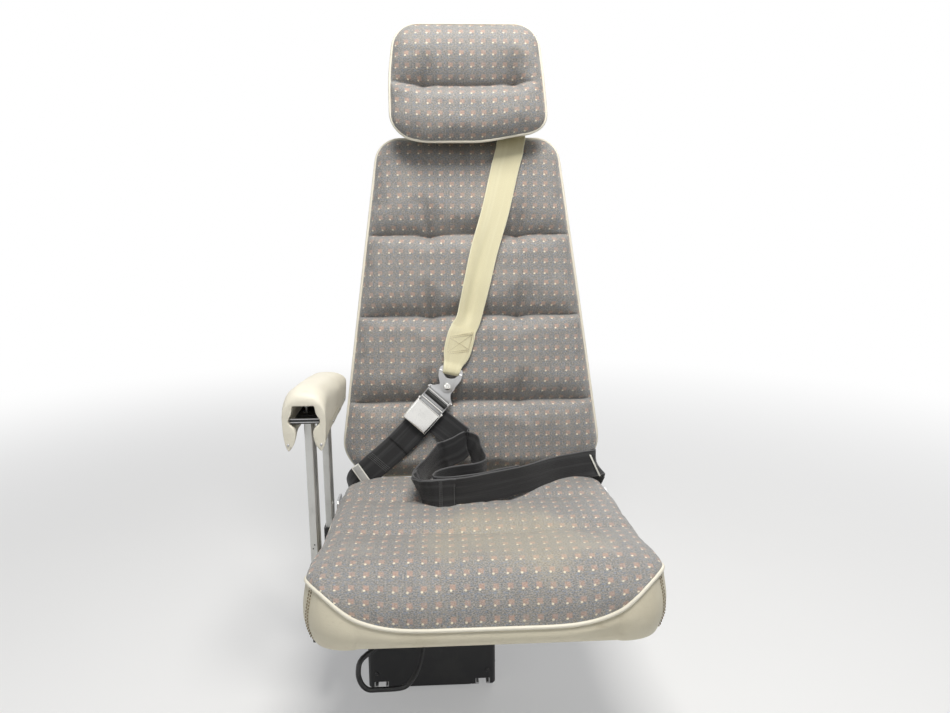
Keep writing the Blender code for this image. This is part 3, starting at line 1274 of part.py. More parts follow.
fabric = make_material("fabric_grey", (0.40, 0.39, 0.38), 0.9)
vinyl = make_material("vinyl_cream", (0.80, 0.76, 0.62), 0.5)
aluminium = make_material("aluminium", (0.62, 0.61, 0.58), 0.4, 1.0)
steel = make_material("steel", (0.45, 0.45, 0.45), 0.35, 1.0)
chrome = make_material("chrome", (0.75, 0.75, 0.76), 0.12, 1.0)
black_paint = make_material("black_paint", (0.02, 0.02, 0.02), 0.45)
black_web = make_material("webbing_black", (0.03, 0.03, 0.035), 0.8)
cream_web = make_material("webbing_cream", (0.80, 0.76, 0.55), 0.8)
main()
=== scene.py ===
"""Light-aircraft passenger seat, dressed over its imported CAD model.

Metres, +Z up, +Y to the seat's rear, +X to the right of somebody who looks at the seat.
"""

import math

import bmesh
import bpy
from mathutils import Matrix, Vector, noise


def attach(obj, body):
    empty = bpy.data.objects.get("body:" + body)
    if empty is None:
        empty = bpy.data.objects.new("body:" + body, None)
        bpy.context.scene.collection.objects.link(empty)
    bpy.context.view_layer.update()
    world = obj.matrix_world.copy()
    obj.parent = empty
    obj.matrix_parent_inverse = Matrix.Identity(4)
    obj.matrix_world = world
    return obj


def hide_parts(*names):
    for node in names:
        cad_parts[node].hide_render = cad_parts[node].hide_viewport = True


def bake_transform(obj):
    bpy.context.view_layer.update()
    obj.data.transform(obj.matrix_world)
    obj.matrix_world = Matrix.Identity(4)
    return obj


bl_info = {
    "name": "Aircraft Passenger Seat",
    "version": (1, 0, 0),
    "blender": (4, 5, 0),
    "location": "View3D > Sidebar > Seat",
    "description": "Upholstery, belts, fittings and finishes of a light-aircraft passenger seat",
    "category": "Object",
}

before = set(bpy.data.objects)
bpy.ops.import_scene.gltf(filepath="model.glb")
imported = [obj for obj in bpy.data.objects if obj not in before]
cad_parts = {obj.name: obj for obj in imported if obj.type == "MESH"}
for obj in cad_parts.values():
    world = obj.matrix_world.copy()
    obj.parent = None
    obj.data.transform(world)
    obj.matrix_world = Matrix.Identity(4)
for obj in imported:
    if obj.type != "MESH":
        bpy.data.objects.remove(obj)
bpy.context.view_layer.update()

SEAT_X = 0.076
PAN_TOP = 0.2207
HINGE = Vector((SEAT_X, 0.082, 0.248))
RECLINE = math.radians(8.0)
BACK_UP = Vector((0, math.sin(RECLINE), math.cos(RECLINE)))
BACK_OUT = Vector((0, -math.cos(RECLINE), math.sin(RECLINE)))
SHEET_GAP = 0.0006
ARM_X = -0.169
ARM_FRONT = -0.195
ARM_RUN = 0.245
ARM_ROOF = 0.4866
ARM_CHANNEL = 0.0158
BUCKLE = Vector((-0.088, 0.149, 0.0495))
BUCKLE_TURN = math.radians(-42.0)


def measure(name, text, value):
    return bpy.props.FloatProperty(name=name, description=text, default=value, unit="LENGTH")


class SeatSizes(bpy.types.PropertyGroup):
    """Sizes of the soft parts and trims."""
    cushion_half_width: measure("Cushion Half Width", "Half of the seat cushion's width", 0.228)
    cushion_front: measure("Cushion Front", "Place of the cushion's front edge", -0.357)
    cushion_rear: measure("Cushion Rear", "Place of the cushion's rear edge", 0.044)
    cushion_crown: measure("Cushion Crown", "Height of the cushion's highest part", 0.311)
    cushion_piping: measure("Cushion Piping", "Height of the piping at the cushion's sides", 0.284)
    cushion_dip: measure("Front Dip", "How far the front piping hangs down in the middle", 0.0442)
    back_half_width: measure("Back Half Width", "Half of the back's width at its widest", 0.226)
    back_low: measure("Back Low", "Lower end of the back pad over the recline axis", 0.038)
    back_top: measure("Back Top", "Upper end of the back pad over the recline axis", 0.630)
    back_crown: measure("Back Crown", "Front face of the back pad", 0.046)
    head_low: measure("Headrest Low", "Lower end of the headrest pad", 0.607)
    head_top: measure("Headrest Top", "Upper end of the headrest pad", 0.798)
    channel_depth: measure("Channel Depth", "Depth of the sewn channels", 0.014)
    loft_height: measure("Loft Height", "How far the stuffing may blow a panel up", 0.007)
    piping_radius: measure("Piping Radius", "Radius of the covered piping", 0.0026)
    web_width: measure("Webbing Width", "Width of the belt webbing", 0.048)
    web_thick: measure("Webbing Thickness", "Thickness of the belt webbing", 0.0022)
    stitch_pitch: measure("Stitch Pitch", "Distance between two stitches", 0.0042)
    dot_pitch: measure("Dot Pitch", "Distance between two woven dots", 0.018)


def colour(name, text, value):
    return bpy.props.FloatVectorProperty(name=name, description=text, subtype="COLOR", size=4, min=0, max=1,
                                         default=(*value, 1.0))


class SeatColours(bpy.types.PropertyGroup):
    """Colours of the cloth, vinyl, webbing and metal."""
    cloth_dark: colour("Cloth Dark", "Darker thread of the grey cloth", (0.120, 0.118, 0.116))
    cloth_light: colour("Cloth Light", "Lighter thread of the grey cloth", (0.480, 0.445, 0.385))
    cloth_blue: colour("Cloth Blue", "Thin blue thread in the grey cloth", (0.220, 0.285, 0.385))
    cloth_dot: colour("Cloth Dot", "Small cream dot woven into the cloth", (0.86, 0.78, 0.60))
    cloth_mark: colour("Cloth Mark", "Peach mark beside each dot", (0.66, 0.39, 0.28))
    stain: colour("Stain", "Yellowed wear on the seat", (0.62, 0.54, 0.36))
    vinyl: colour("Vinyl", "Cream vinyl of piping and boxing", (0.66, 0.61, 0.47))
    # The vinyl's second colour is grime in patches and painted shade in its creases.
    vinyl_dirt_and_shade: colour("Vinyl Dirt And Shade", "Grime in patches and painted shade in the vinyl's folds", (0.40, 0.34, 0.22))
    arm_vinyl: colour("Arm Vinyl", "Off-white vinyl of the armrest", (0.78, 0.74, 0.62))
    strap: colour("Strap", "Pale yellow shoulder webbing", (0.84, 0.78, 0.52))
    belt: colour("Belt", "Black lap webbing", (0.022, 0.022, 0.023))
    aluminium: colour("Aluminium", "Bare aluminium", (0.56, 0.56, 0.54))
    steel: colour("Steel", "Plated steel", (0.50, 0.50, 0.50))
    chrome: colour("Chrome", "Bright plating", (0.78, 0.77, 0.74))
    paint: colour("Paint", "Black paint of the pedestal", (0.012, 0.012, 0.013))
    tag: colour("Tag", "Blank sewn tag", (0.78, 0.77, 0.70))
    floor: colour("Floor", "Pale floor", (0.80, 0.80, 0.79))


def seat_point(x, y, z):
    """A point of the seat, whose middle plane stands beside the pedestal's."""
    return Vector((x + SEAT_X, y, z))


def back_point(x, up, out):
    """A point of the back: across, up from the recline axis along the back, and out to its front."""
    return HINGE + Vector((x, 0, 0)) + BACK_UP * up + BACK_OUT * out


def buckle_point(x, y, z):
    """A point of the buckle: across, along to its stud, and out from the back."""
    c, s = math.cos(BUCKLE_TURN), math.sin(BUCKLE_TURN)
    return back_point(BUCKLE.x + x * c - y * s, BUCKLE.y + x * s + y * c, BUCKLE.z + z)


class Graph:
    """Short calls for the node tree of one material."""

    def __init__(self, name, roughness=0.5, metallic=0.0):
        self.material = bpy.data.materials.new(name)
        self.material.use_nodes = True
        self.tree = self.material.node_tree
        self.shader = self.tree.nodes["Principled BSDF"]
        self.shader.inputs["Roughness"].default_value = roughness
        self.shader.inputs["Metallic"].default_value = metallic

    def add(self, kind, **settings):
        node = self.tree.nodes.new(kind)
        for name, value in settings.items():
            setattr(node, name, value)
        return node

    def put(self, socket, value):
        if isinstance(value, bpy.types.NodeSocket):
            self.tree.links.new(value, socket)
        else:
            socket.default_value = value

    def maths(self, operation, a, b=None, clamp=False):
        node = self.add("ShaderNodeMath", operation=operation, use_clamp=clamp)
        self.put(node.inputs[0], a)
        if b is not None:
            self.put(node.inputs[1], b)
        return node.outputs[0]

    def times(self, a, b, clamp=False):
        return self.maths("MULTIPLY", a, b, clamp)

    def plus(self, a, b):
        return self.maths("ADD", a, b)

    def less(self, a, b):
        return self.maths("SUBTRACT", a, b)

    def over(self, a, b):
        return self.maths("DIVIDE", a, b)

    def length(self, x, y):
        return self.maths("SQRT", self.plus(self.times(x, x), self.times(y, y)))

    def step(self, value, low, high):
        """0 up to low and 1 from high on, with a soft ramp between."""
        node = self.add("ShaderNodeMapRange", interpolation_type="SMOOTHSTEP")
        self.put(node.inputs["Value"], value)
        if low < high:
            self.put(node.inputs["From Min"], low)
            self.put(node.inputs["From Max"], high)
            return node.outputs[0]
        self.put(node.inputs["From Min"], high)
        self.put(node.inputs["From Max"], low)
        return self.less(1.0, node.outputs[0])

    def mix(self, share, first, second, amount=None):
        """Blend two colours by a share, which the amount may weaken."""
        if amount is not None:
            share = self.times(share, amount)
        node = self.add("ShaderNodeMix", data_type="RGBA")
        self.put(node.inputs[0], share)
        self.put(node.inputs[6], first)
        self.put(node.inputs[7], second)
        return node.outputs[2]

    def split(self, vector):
        node = self.add("ShaderNodeSeparateXYZ")
        self.put(node.inputs[0], vector)
        return node.outputs

    def join(self, x, y, z=0.0):
        node = self.add("ShaderNodeCombineXYZ")
        for socket, value in zip(node.inputs, (x, y, z)):
            self.put(socket, value)
        return node.outputs[0]

    def place(self):
        return self.add("ShaderNodeTexCoord").outputs["Object"]

    def uv(self):
        return self.add("ShaderNodeUVMap", uv_map="weave").outputs[0]

    def stretch(self, vector, scale):
        node = self.add("ShaderNodeMapping")
        self.put(node.inputs["Vector"], vector)
        node.inputs["Scale"].default_value = scale
        return node.outputs[0]

    def noise(self, vector, scale, detail=2.0, roughness=0.5):
        node = self.add("ShaderNodeTexNoise")
        self.put(node.inputs["Vector"], vector)
        node.inputs["Scale"].default_value = scale
        node.inputs["Detail"].default_value = detail
        node.inputs["Roughness"].default_value = roughness
        return node.outputs[0]

    def cells(self, vector, scale, feature="F1"):
        node = self.add("ShaderNodeTexVoronoi", feature=feature)
        self.put(node.inputs["Vector"], vector)
        node.inputs["Scale"].default_value = scale
        return node.outputs[0]

    def bump(self, height, distance, strength=1.0, before=None):
        node = self.add("ShaderNodeBump")
        self.put(node.inputs["Height"], height)
        node.inputs["Distance"].default_value = distance
        node.inputs["Strength"].default_value = strength
        if before is not None:
            self.put(node.inputs["Normal"], before)
        return node.outputs[0]

    def finish(self, colour_socket=None, roughness=None, normal=None):
        if colour_socket is not None:
            self.put(self.shader.inputs["Base Color"], colour_socket)
        if roughness is not None:
            self.put(self.shader.inputs["Roughness"], roughness)
        if normal is not None:
            self.put(self.shader.inputs["Normal"], normal)
        return self.material


def darker(ground, share):
    return tuple(c * share for c in ground[:3]) + (1.0,)


def waves(g, value, pitch):
    """A thread profile from 0 to 1 that repeats with the pitch."""
    turn = g.times(value, 2 * math.pi / pitch)
    return g.maths("MULTIPLY_ADD", g.maths("SINE", turn), 0.5)


def make_cloth(name, colours, pitch, shift, stained):
    """Grey furnishing cloth with a woven grid of cream dots, each with a peach mark beside it."""
    g = Graph(name, roughness=0.92)
    g.shader.inputs["Sheen Weight"].default_value = 0.25
    g.shader.inputs["Sheen Roughness"].default_value = 0.45
    g.shader.inputs["Specular IOR Level"].default_value = 0.25
    u, v, _ = g.split(g.uv())
    across = g.over(g.plus(u, shift[0]), pitch[0])
    along = g.over(g.plus(v, shift[1]), pitch[1])
    a = g.less(g.maths("FRACT", across), 0.5)
    b = g.less(g.maths("FRACT", along), 0.5)
    cell = g.add("ShaderNodeTexWhiteNoise", noise_dimensions="2D")
    g.put(cell.inputs["Vector"], g.join(g.maths("FLOOR", across), g.maths("FLOOR", along)))
    odd = cell.outputs["Value"]

    def ring(x, y, wide, high):
        dx = g.over(g.less(a, x), wide)
        dy = g.over(g.less(b, y), high)
        return g.length(dx, dy)

    def block(x, y, wide, high):
        dx = g.maths("ABSOLUTE", g.over(g.less(a, x), wide))
        dy = g.maths("ABSOLUTE", g.over(g.less(b, y), high))
        return g.maths("MAXIMUM", dx, dy)

    fine = g.noise(g.stretch(g.uv(), (420, 900, 1)), 1.0, 3.0, 0.6)
    streak = g.noise(g.stretch(g.uv(), (170, 1500, 1)), 1.0, 1.0)
    cloud = g.noise(g.uv(), 14.0, 3.0)
    threads = g.times(waves(g, u, 0.0011), waves(g, v, 0.0013))
    ground = g.mix(g.step(fine, 0.30, 0.72), colours.cloth_dark, colours.cloth_light)
    ground = g.mix(g.step(streak, 0.52, 0.66), ground, colours.cloth_blue, 0.55)
    ground = g.mix(threads, ground, colours.cloth_dark, 0.22)
    ground = g.mix(g.step(cloud, 0.50, 0.80), ground, colours.cloth_light, 0.30)

    blot = g.noise(g.stretch(g.uv(), (240, 330, 1)), 1.0, 2.0, 0.7)
    ground = g.mix(g.step(blot, 0.54, 0.68), ground, colours.cloth_blue, 0.42)
    ground = g.mix(g.step(blot, 0.46, 0.34), ground, colours.cloth_light, 0.35)

    rough_edge = g.times(g.less(fine, 0.5), 0.9)
    mark = g.step(g.plus(block(0.09, 0.12, 0.23, 0.20), rough_edge), 1.10, 0.62)
    comb = g.step(waves(g, u, 0.0016), 0.15, 0.75)
    mark = g.times(mark, g.plus(0.20, g.times(comb, 0.50)))
    mark = g.times(mark, g.plus(0.60, g.times(odd, 0.40)))
    ground = g.mix(mark, ground, colours.cloth_mark)
    tick = g.step(block(-0.18, -0.30, 0.20, 0.045), 1.1, 0.6)
    ground = g.mix(tick, ground, colours.cloth_blue, 0.35)
    dot = g.step(ring(-0.04, -0.075, 0.092, 0.074), 1.22, 0.72)
    ground = g.mix(g.times(dot, g.plus(0.72, g.times(odd, 0.28))), ground,
                   colours.cloth_dot)

    if stained:
        x, y, z = g.split(g.place())
        dx = g.over(g.less(x, 0.105), 0.150)
        dy = g.over(g.less(y, -0.235), 0.120)
        reach = g.plus(g.times(dx, dx), g.times(dy, dy))
        patch = g.step(g.plus(reach, g.times(g.noise(g.place(), 11.0, 4.0, 0.65), 1.9)), 1.95, 1.15)
        ground = g.mix(patch, ground, colours.stain, 0.24)
    height = g.plus(g.times(threads, 0.6), g.times(dot, 1.0))
    height = g.plus(height, g.times(fine, 0.8))
    normal = g.bump(height, 0.0005, 0.55)
    normal = g.bump(g.noise(g.uv(), 38.0, 2.0), 0.0025, 0.35, normal)
    return g.finish(ground, g.maths("MULTIPLY_ADD", fine, 0.12), normal)


def make_vinyl(name, ground, dirt_and_shade, grain=1.0, soil=1.0):
    """Worn cream vinyl: fine leather grain, soft creases with painted shade in their hollows, and grime in
    broad patches and specks.
    """
    g = Graph(name, roughness=0.45)
    g.shader.inputs["Specular IOR Level"].default_value = 0.45
    place = g.place()
    cloud = g.noise(place, 9.0, 4.0, 0.6)
    speck = g.noise(place, 160.0, 3.0, 0.7)
    crease = g.noise(g.stretch(place, (1.0, 1.0, 2.6)), 26.0, 5.0, 0.62)
    skin = g.cells(place, 900.0)
    # Grime in random patches and specks, then painted shade in the hollows of the crease bump; soil weakens
    # all three.
    shade = g.mix(g.step(cloud, 0.48, 0.78), ground, dirt_and_shade, 0.40 * soil)
    shade = g.mix(g.step(speck, 0.60, 0.80), shade, dirt_and_shade, 0.30 * soil)
    shade = g.mix(g.step(crease, 0.40, 0.28), shade, dirt_and_shade, 0.35 * soil)
    rough = g.plus(0.36, g.times(cloud, 0.22))
    normal = g.bump(skin, 0.00022, 0.45 * grain)
    normal = g.bump(crease, 0.0022, 0.30 * grain, normal)
    return g.finish(shade, rough, normal)


def make_metal(name, ground, roughness, brushed=(1, 1, 1), wear=0.5):
    """Metal with fine brushing along one direction, hazy patches and small scratches."""
    g = Graph(name, roughness=roughness, metallic=1.0)
    place = g.place()
    lines = g.noise(g.stretch(place, brushed), 900.0, 2.0)
    haze = g.noise(place, 28.0, 4.0, 0.6)
    scratch = g.noise(g.stretch(place, (3.0, 3.0, 0.35)), 240.0, 1.0)
    dark = darker(ground, 0.62)
    shade = g.mix(g.step(haze, 0.46, 0.74), ground, dark, wear * 0.7)
    shade = g.mix(g.step(scratch, 0.64, 0.72), shade, dark, wear * 0.6)
    rough = g.plus(roughness * 0.75, g.times(g.plus(lines, haze), roughness * 0.45))
    normal = g.bump(lines, 0.00008, 0.5)
    normal = g.bump(haze, 0.0006, 0.10, normal)
    return g.finish(shade, rough, normal)


def make_paint(name, ground):
    """Black paint with a light orange peel, dust on what faces up and a few worn specks."""
    g = Graph(name, roughness=0.42)
    place = g.place()
    peel = g.noise(place, 420.0, 2.0)
    dust = g.noise(place, 22.0, 5.0, 0.65)
    chips = g.noise(place, 130.0, 4.0, 0.7)
    facing = g.split(g.add("ShaderNodeNewGeometry").outputs["Normal"])[2]
    film = g.times(g.step(dust, 0.42, 0.72), g.plus(0.05, g.times(facing, 0.10, True)))
    shade = g.mix(film, ground, (0.20, 0.19, 0.17, 1.0))
    shade = g.mix(g.times(g.step(chips, 0.72, 0.76), 0.5), shade, (0.16, 0.16, 0.16, 1.0))
    rough = g.plus(0.30, g.times(dust, 0.25))
    return g.finish(shade, rough, g.bump(peel, 0.00012, 0.5))


def make_webbing(name, ground, light_tone_and_highlight, shade_of_rib, roughness):
    """Belt webbing: a fine diagonal weave, lengthwise ribs, long streaks of painted shading, and lighter
    edges that are partly selvedge and partly painted highlight.
    """
    g = Graph(name, roughness=roughness)
    g.shader.inputs["Sheen Weight"].default_value = 0.15
    g.shader.inputs["Specular IOR Level"].default_value = 0.30
    u, v, _ = g.split(g.uv())
    rib = waves(g, u, 0.0030)
    twill = waves(g, g.plus(v, g.times(u, 0.8)), 0.0013)
    back_twill = waves(g, g.less(v, g.times(u, 0.8)), 0.0013)
    fuzz = g.noise(g.stretch(g.uv(), (900, 260, 1)), 1.0, 3.0, 0.6)
    band = g.noise(g.stretch(g.uv(), (120, 2.5, 1)), 1.0, 2.0)
    weave = g.maths("MAXIMUM", g.times(twill, rib),
                    g.times(back_twill, g.less(1.0, rib)))
    colour_now = g.mix(g.times(g.less(1.0, weave), shade_of_rib), ground,
                       darker(ground, 0.45))
    # Painted shading: long lighter streaks along the webbing.
    colour_now = g.mix(g.step(band, 0.46, 0.72), colour_now, light_tone_and_highlight, 0.30)
    colour_now = g.mix(g.step(fuzz, 0.55, 0.80), colour_now, light_tone_and_highlight, 0.15)
    # Lighter edges: partly the selvedge, partly a painted highlight on the rounded edges.
    edge = g.step(g.maths("ABSOLUTE", u), 0.0218, 0.0228)
    colour_now = g.mix(edge, colour_now, light_tone_and_highlight, 0.85)
    height = g.plus(weave, g.times(fuzz, 0.5))
    return g.finish(colour_now, None, g.bump(height, 0.0004, 0.6))


def make_plain(name, ground, roughness, grain_scale, depth=0.0002):
    """Thread, rubber or printed tape: one colour, with its own grain and a little soil."""
    g = Graph(name, roughness=roughness)
    place = g.place()
    soil = g.noise(place, 45.0, 4.0, 0.6)
    grain = g.noise(place, grain_scale, 2.0)
    dark = darker(ground, 0.68)
    return g.finish(g.mix(g.step(soil, 0.42, 0.75), ground, dark), None, g.bump(grain, depth, 0.5))


PALETTE = {}


def build_palette(colours, pitch):
    PALETTE["seat cloth"] = make_cloth("seat cloth", colours, (pitch, 0.0195), (0.0, 0.0), True)
    PALETTE["back cloth"] = make_cloth("back cloth", colours, (pitch, 0.0187), (0.004, 0.0), False)
    # The vinyl's second colour paints grime in patches and shade in the creases; the last numbers weaken
    # both.
    PALETTE["vinyl"] = make_vinyl("cream vinyl", colours.vinyl, colours.vinyl_dirt_and_shade)
    PALETTE["piping"] = make_vinyl("piping vinyl", colours.arm_vinyl, colours.vinyl_dirt_and_shade, 0.6, 0.5)
    PALETTE["arm vinyl"] = make_vinyl("arm vinyl", colours.arm_vinyl, colours.vinyl_dirt_and_shade, 1.2, 0.45)
    # Each webbing's second colour is its lighter fuzz, its painted shading streaks and its edges, partly
    # selvedge and partly painted highlight.
    PALETTE["strap"] = make_webbing("cream webbing", colours.strap, (0.86, 0.82, 0.60, 1.0), 0.40, 0.62)
    PALETTE["belt"] = make_webbing("black webbing", colours.belt, (0.105, 0.105, 0.107, 1.0), 0.65, 0.55)
    PALETTE["aluminium"] = make_metal("brushed aluminium", colours.aluminium, 0.36, (1.0, 1.0, 0.04))
    PALETTE["steel"] = make_metal("plated steel", colours.steel, 0.30, (0.2, 1.0, 1.0))
    PALETTE["chrome"] = make_metal("bright plating", colours.chrome, 0.14, (0.3, 1.0, 0.3), 0.25)
    PALETTE["paint"] = make_paint("black paint", colours.paint)
    PALETTE["cream thread"] = make_plain("cream thread", (0.62, 0.55, 0.38, 1.0), 0.6, 1800.0)
    PALETTE["tan thread"] = make_plain("tan thread", (0.26, 0.21, 0.13, 1.0), 0.7, 1800.0)
    PALETTE["grey thread"] = make_plain("grey thread", (0.10, 0.10, 0.10, 1.0), 0.6, 1800.0)
    PALETTE["tag field"] = make_plain("tag field", (0.42, 0.42, 0.40, 1.0), 0.7, 1200.0)
    PALETTE["tag"] = make_plain("blank tag", colours.tag, 0.65, 1200.0)
    PALETTE["rubber"] = make_plain("dark rubber", (0.012, 0.012, 0.011, 1.0), 0.38, 700.0)
    # Painted shade: near-black that stands for the shadow inside holes and notches.
    PALETTE["hole"] = make_plain("dark hole", (0.006, 0.006, 0.006, 1.0), 0.9, 300.0)


def link(name, mesh, materials):
    piece = bpy.data.objects.new(name, mesh)
    bpy.context.collection.objects.link(piece)
    for key in materials:
        mesh.materials.append(PALETTE[key])
    return piece


def from_bmesh(name, bm, materials, sharp=40.0, recalculate=True):
    """Make a named object of a finished bmesh, with outward faces and smooth shading up to an angle."""
    if recalculate:
        bmesh.ops.recalc_face_normals(bm, faces=bm.faces[:])
    mesh = bpy.data.meshes.new(name)
    bm.to_mesh(mesh)
    bm.free()
    mesh.shade_smooth()
    if sharp:
        mesh.set_sharp_from_angle(angle=math.radians(sharp))
    return link(name, mesh, materials)


def bake(piece):
    """Turn what the modifiers or the curve give into a plain mesh of the same name."""
    graph = bpy.context.evaluated_depsgraph_get()
    mesh = bpy.data.meshes.new_from_object(piece.evaluated_get(graph))
    name = piece.name
    if piece.type == "MESH":
        old = piece.data
        piece.modifiers.clear()
        piece.data = mesh
        bpy.data.meshes.remove(old)
        return piece
    bpy.data.objects.remove(piece, do_unlink=True)
    made = bpy.data.objects.new(name, mesh)
    bpy.context.collection.objects.link(made)
    return made


def smooth_path(points, per_span):
    """Points on a Catmull-Rom curve through the given points."""
    points = [Vector(point) for point in points]
    ends = [points[0] * 2 - points[1]] + points + [points[-1] * 2 - points[-2]]
    path = []
    for i in range(1, len(ends) - 2):
        p0, p1, p2, p3 = ends[i - 1:i + 3]
        for k in range(per_span):
            t = k / per_span
            path.append(0.5 * (2 * p1 + (p2 - p0) * t + (2 * p0 - 5 * p1 + 4 * p2 - p3) * t ** 2
                               + (3 * p1 - p0 - 3 * p2 + p3) * t ** 3))
    path.append(points[-1])
    return path


def tube(name, points, radius, material, closed=False, sides=4):
    """Round cord or wire along a line of points."""
    curve = bpy.data.curves.new(name, "CURVE")
    curve.dimensions = "3D"
    curve.bevel_depth = radius
    curve.bevel_resolution = sides
    curve.use_fill_caps = not closed
    spline = curve.splines.new("POLY")
    spline.points.add(len(points) - 1)
    for slot, point in zip(spline.points, points):
        slot.co = (*point, 1.0)
    spline.use_cyclic_u = closed
    spline.use_smooth = True
    piece = bpy.data.objects.new(name, curve)
    bpy.context.collection.objects.link(piece)
    curve.materials.append(PALETTE[material])
    made = bake(piece)
    made.data.shade_smooth()
    return made


def wall(bm, first, second):
    """Faces between two rings of equal count."""
    count = len(first)
    for i in range(count):
        j = (i + 1) % count
        bm.faces.new((first[i], first[j], second[j], second[i]))


def skin(name, rings, materials, closed=False, caps=True, sharp=40.0):
    """Skin rings of equal count into one body."""
    bm = bmesh.new()
    loops = [[bm.verts.new(point) for point in ring] for ring in rings]
    pairs = list(zip(loops, loops[1:]))
    if closed:
        pairs.append((loops[-1], loops[0]))
    for first, second in pairs:
        wall(bm, first, second)
    if caps and not closed:
        bm.faces.new(list(reversed(loops[0])))
        bm.faces.new(loops[-1])
    bmesh.ops.remove_doubles(bm, verts=bm.verts[:], dist=0.000002)
    return from_bmesh(name, bm, materials, sharp)


def join(name, pieces):
    """Join pieces of one body and keep their materials."""
    for other in bpy.context.selected_objects:
        other.select_set(False)
    for piece in pieces:
        piece.select_set(True)
    bpy.context.view_layer.objects.active = pieces[0]
    bpy.ops.object.join()
    pieces[0].name = name
    pieces[0].data.name = name
    return pieces[0]


def plate(name, place, outline, low, high, material, bevel=0.0004, whole=False):
    """Flat plate of any outline, with the edges of both faces rounded, or all its edges."""
    bm = bmesh.new()
    loops = [[bm.verts.new(place(x, y, z)) for x, y in outline] for z in (low, high)]
    wall(bm, *loops)
    caps = [bm.faces.new(list(reversed(loops[0]))), bm.faces.new(loops[1])]
    rims = bm.edges[:] if whole else [edge for cap in caps for edge in cap.edges]
    bmesh.ops.bevel(bm, geom=rims, offset=bevel, segments=2, profile=0.5, affect="EDGES")
    return from_bmesh(name, bm, [material], 30.0)


def box_piece(name, place, low, high, material, bevel=0.0004):
    """Small block with rounded edges, given in one of the local frames."""
    outline = [(low[0], low[1]), (high[0], low[1]), (high[0], high[1]), (low[0], high[1])]
    return plate(name, place, outline, low[2], high[2], material, bevel, True)


def dress(piece, body, node=None):
    """Put a piece on its body and the CAD node that it stands for."""
    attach(piece, body)
    if node:
        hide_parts(node)


def arc(centre, radius, start, end, steps):
    """Points on an arc in a plane, angles in degrees."""
    turns = [math.radians(start + (end - start) * i / steps) for i in range(steps + 1)]
    return [(centre[0] + radius * math.cos(t), centre[1] + radius * math.sin(t)) for t in turns]


def rounded_rectangle(low, high, radius, steps=4):
    (x0, y0), (x1, y1) = low, high
    points = []
    for cx, cy, start in ((x1, y1, 0), (x0, y1, 90), (x0, y0, 180), (x1, y0, 270)):
        centre = (cx - math.copysign(radius, cx - (x0 + x1) / 2),
                  cy - math.copysign(radius, cy - (y0 + y1) / 2))
        points += arc(centre, radius, start, start + 90, steps)
    return points


def instance_tree(name, shape, along_paths):
    """Geometry Nodes that set a small shape at an even pitch along paths, or at points with a facing."""
    tree = bpy.data.node_groups.new(name, "GeometryNodeTree")
    for label, side, kind in (("Geometry", "INPUT", "Geometry"), ("Pitch", "INPUT", "Float"),
                              ("Size", "INPUT", "Float"), ("Material", "INPUT", "Material"),
                              ("Geometry", "OUTPUT", "Geometry")):
        tree.interface.new_socket(label, in_out=side, socket_type="NodeSocket" + kind)
    nodes, links = tree.nodes, tree.links
    given = nodes.new("NodeGroupInput")
    out = nodes.new("NodeGroupOutput")
    if along_paths:
        path = nodes.new("GeometryNodeMeshToCurve")
        links.new(given.outputs["Geometry"], path.inputs[0])
        resample = nodes.new("GeometryNodeResampleCurve")
        resample.mode = "LENGTH"
        links.new(path.outputs[0], resample.inputs["Curve"])
        links.new(given.outputs["Pitch"], resample.inputs["Length"])
        tangent = nodes.new("GeometryNodeInputTangent")
        align = nodes.new("FunctionNodeAlignRotationToVector")
        align.axis = "X"
        links.new(tangent.outputs[0], align.inputs["Vector"])
        points, rotation = resample.outputs[0], align.outputs[0]
    else:
        attribute = nodes.new("GeometryNodeInputNamedAttribute")
        attribute.data_type = "FLOAT_VECTOR"
        attribute.inputs["Name"].default_value = "facing"
        align = nodes.new("FunctionNodeAlignRotationToVector")
        align.axis = "Z"
        links.new(attribute.outputs["Attribute"], align.inputs["Vector"])
        to_points = nodes.new("GeometryNodeMeshToPoints")
        links.new(given.outputs["Geometry"], to_points.inputs["Mesh"])
        points, rotation = to_points.outputs[0], align.outputs[0]
    piece = nodes.new("GeometryNodeObjectInfo")
    piece.inputs["Object"].default_value = shape
    scatter = nodes.new("GeometryNodeInstanceOnPoints")
    links.new(points, scatter.inputs["Points"])
    links.new(piece.outputs["Geometry"], scatter.inputs["Instance"])
    links.new(rotation, scatter.inputs["Rotation"])
    links.new(given.outputs["Size"], scatter.inputs["Scale"])
    realize = nodes.new("GeometryNodeRealizeInstances")
    links.new(scatter.outputs[0], realize.inputs[0])
    paint = nodes.new("GeometryNodeSetMaterial")
    links.new(realize.outputs[0], paint.inputs["Geometry"])
    links.new(given.outputs["Material"], paint.inputs["Material"])
    links.new(paint.outputs[0], out.inputs["Geometry"])
    return tree


def run_tree(piece, tree, pitch, size, material):
    """Set a tree's inputs by their identifiers, evaluate it once and keep the plain mesh."""
    modifier = piece.modifiers.new("detail", "NODES")
    modifier.node_group = tree
    values = {"Pitch": pitch, "Size": size, "Material": PALETTE[material]}
    for item in tree.interface.items_tree:
        if item.in_out == "INPUT" and item.name in values:
            modifier[item.identifier] = values[item.name]
    piece.update_tag()
    made = bake(piece)
    made.data.shade_smooth()
    return made


SCREW_RECESS = 0.34
SEED_PROFILES = {
    "stitch": (((-0.52, 0.10), (-0.44, 0.20), (-0.2, 0.26), (0.2, 0.26), (0.44, 0.20), (0.52, 0.10)), 6),
    "rivet": (((-0.3, 1.0), (0.05, 1.0), (0.30, 0.80), (0.44, 0.45), (0.48, 0.12)), 16),
    "screw": (((-0.3, 1.0), (0.10, 1.0), (0.36, 0.82), (0.42, 0.50), (0.40, 0.34), (0.10, 0.30)), 16),
}


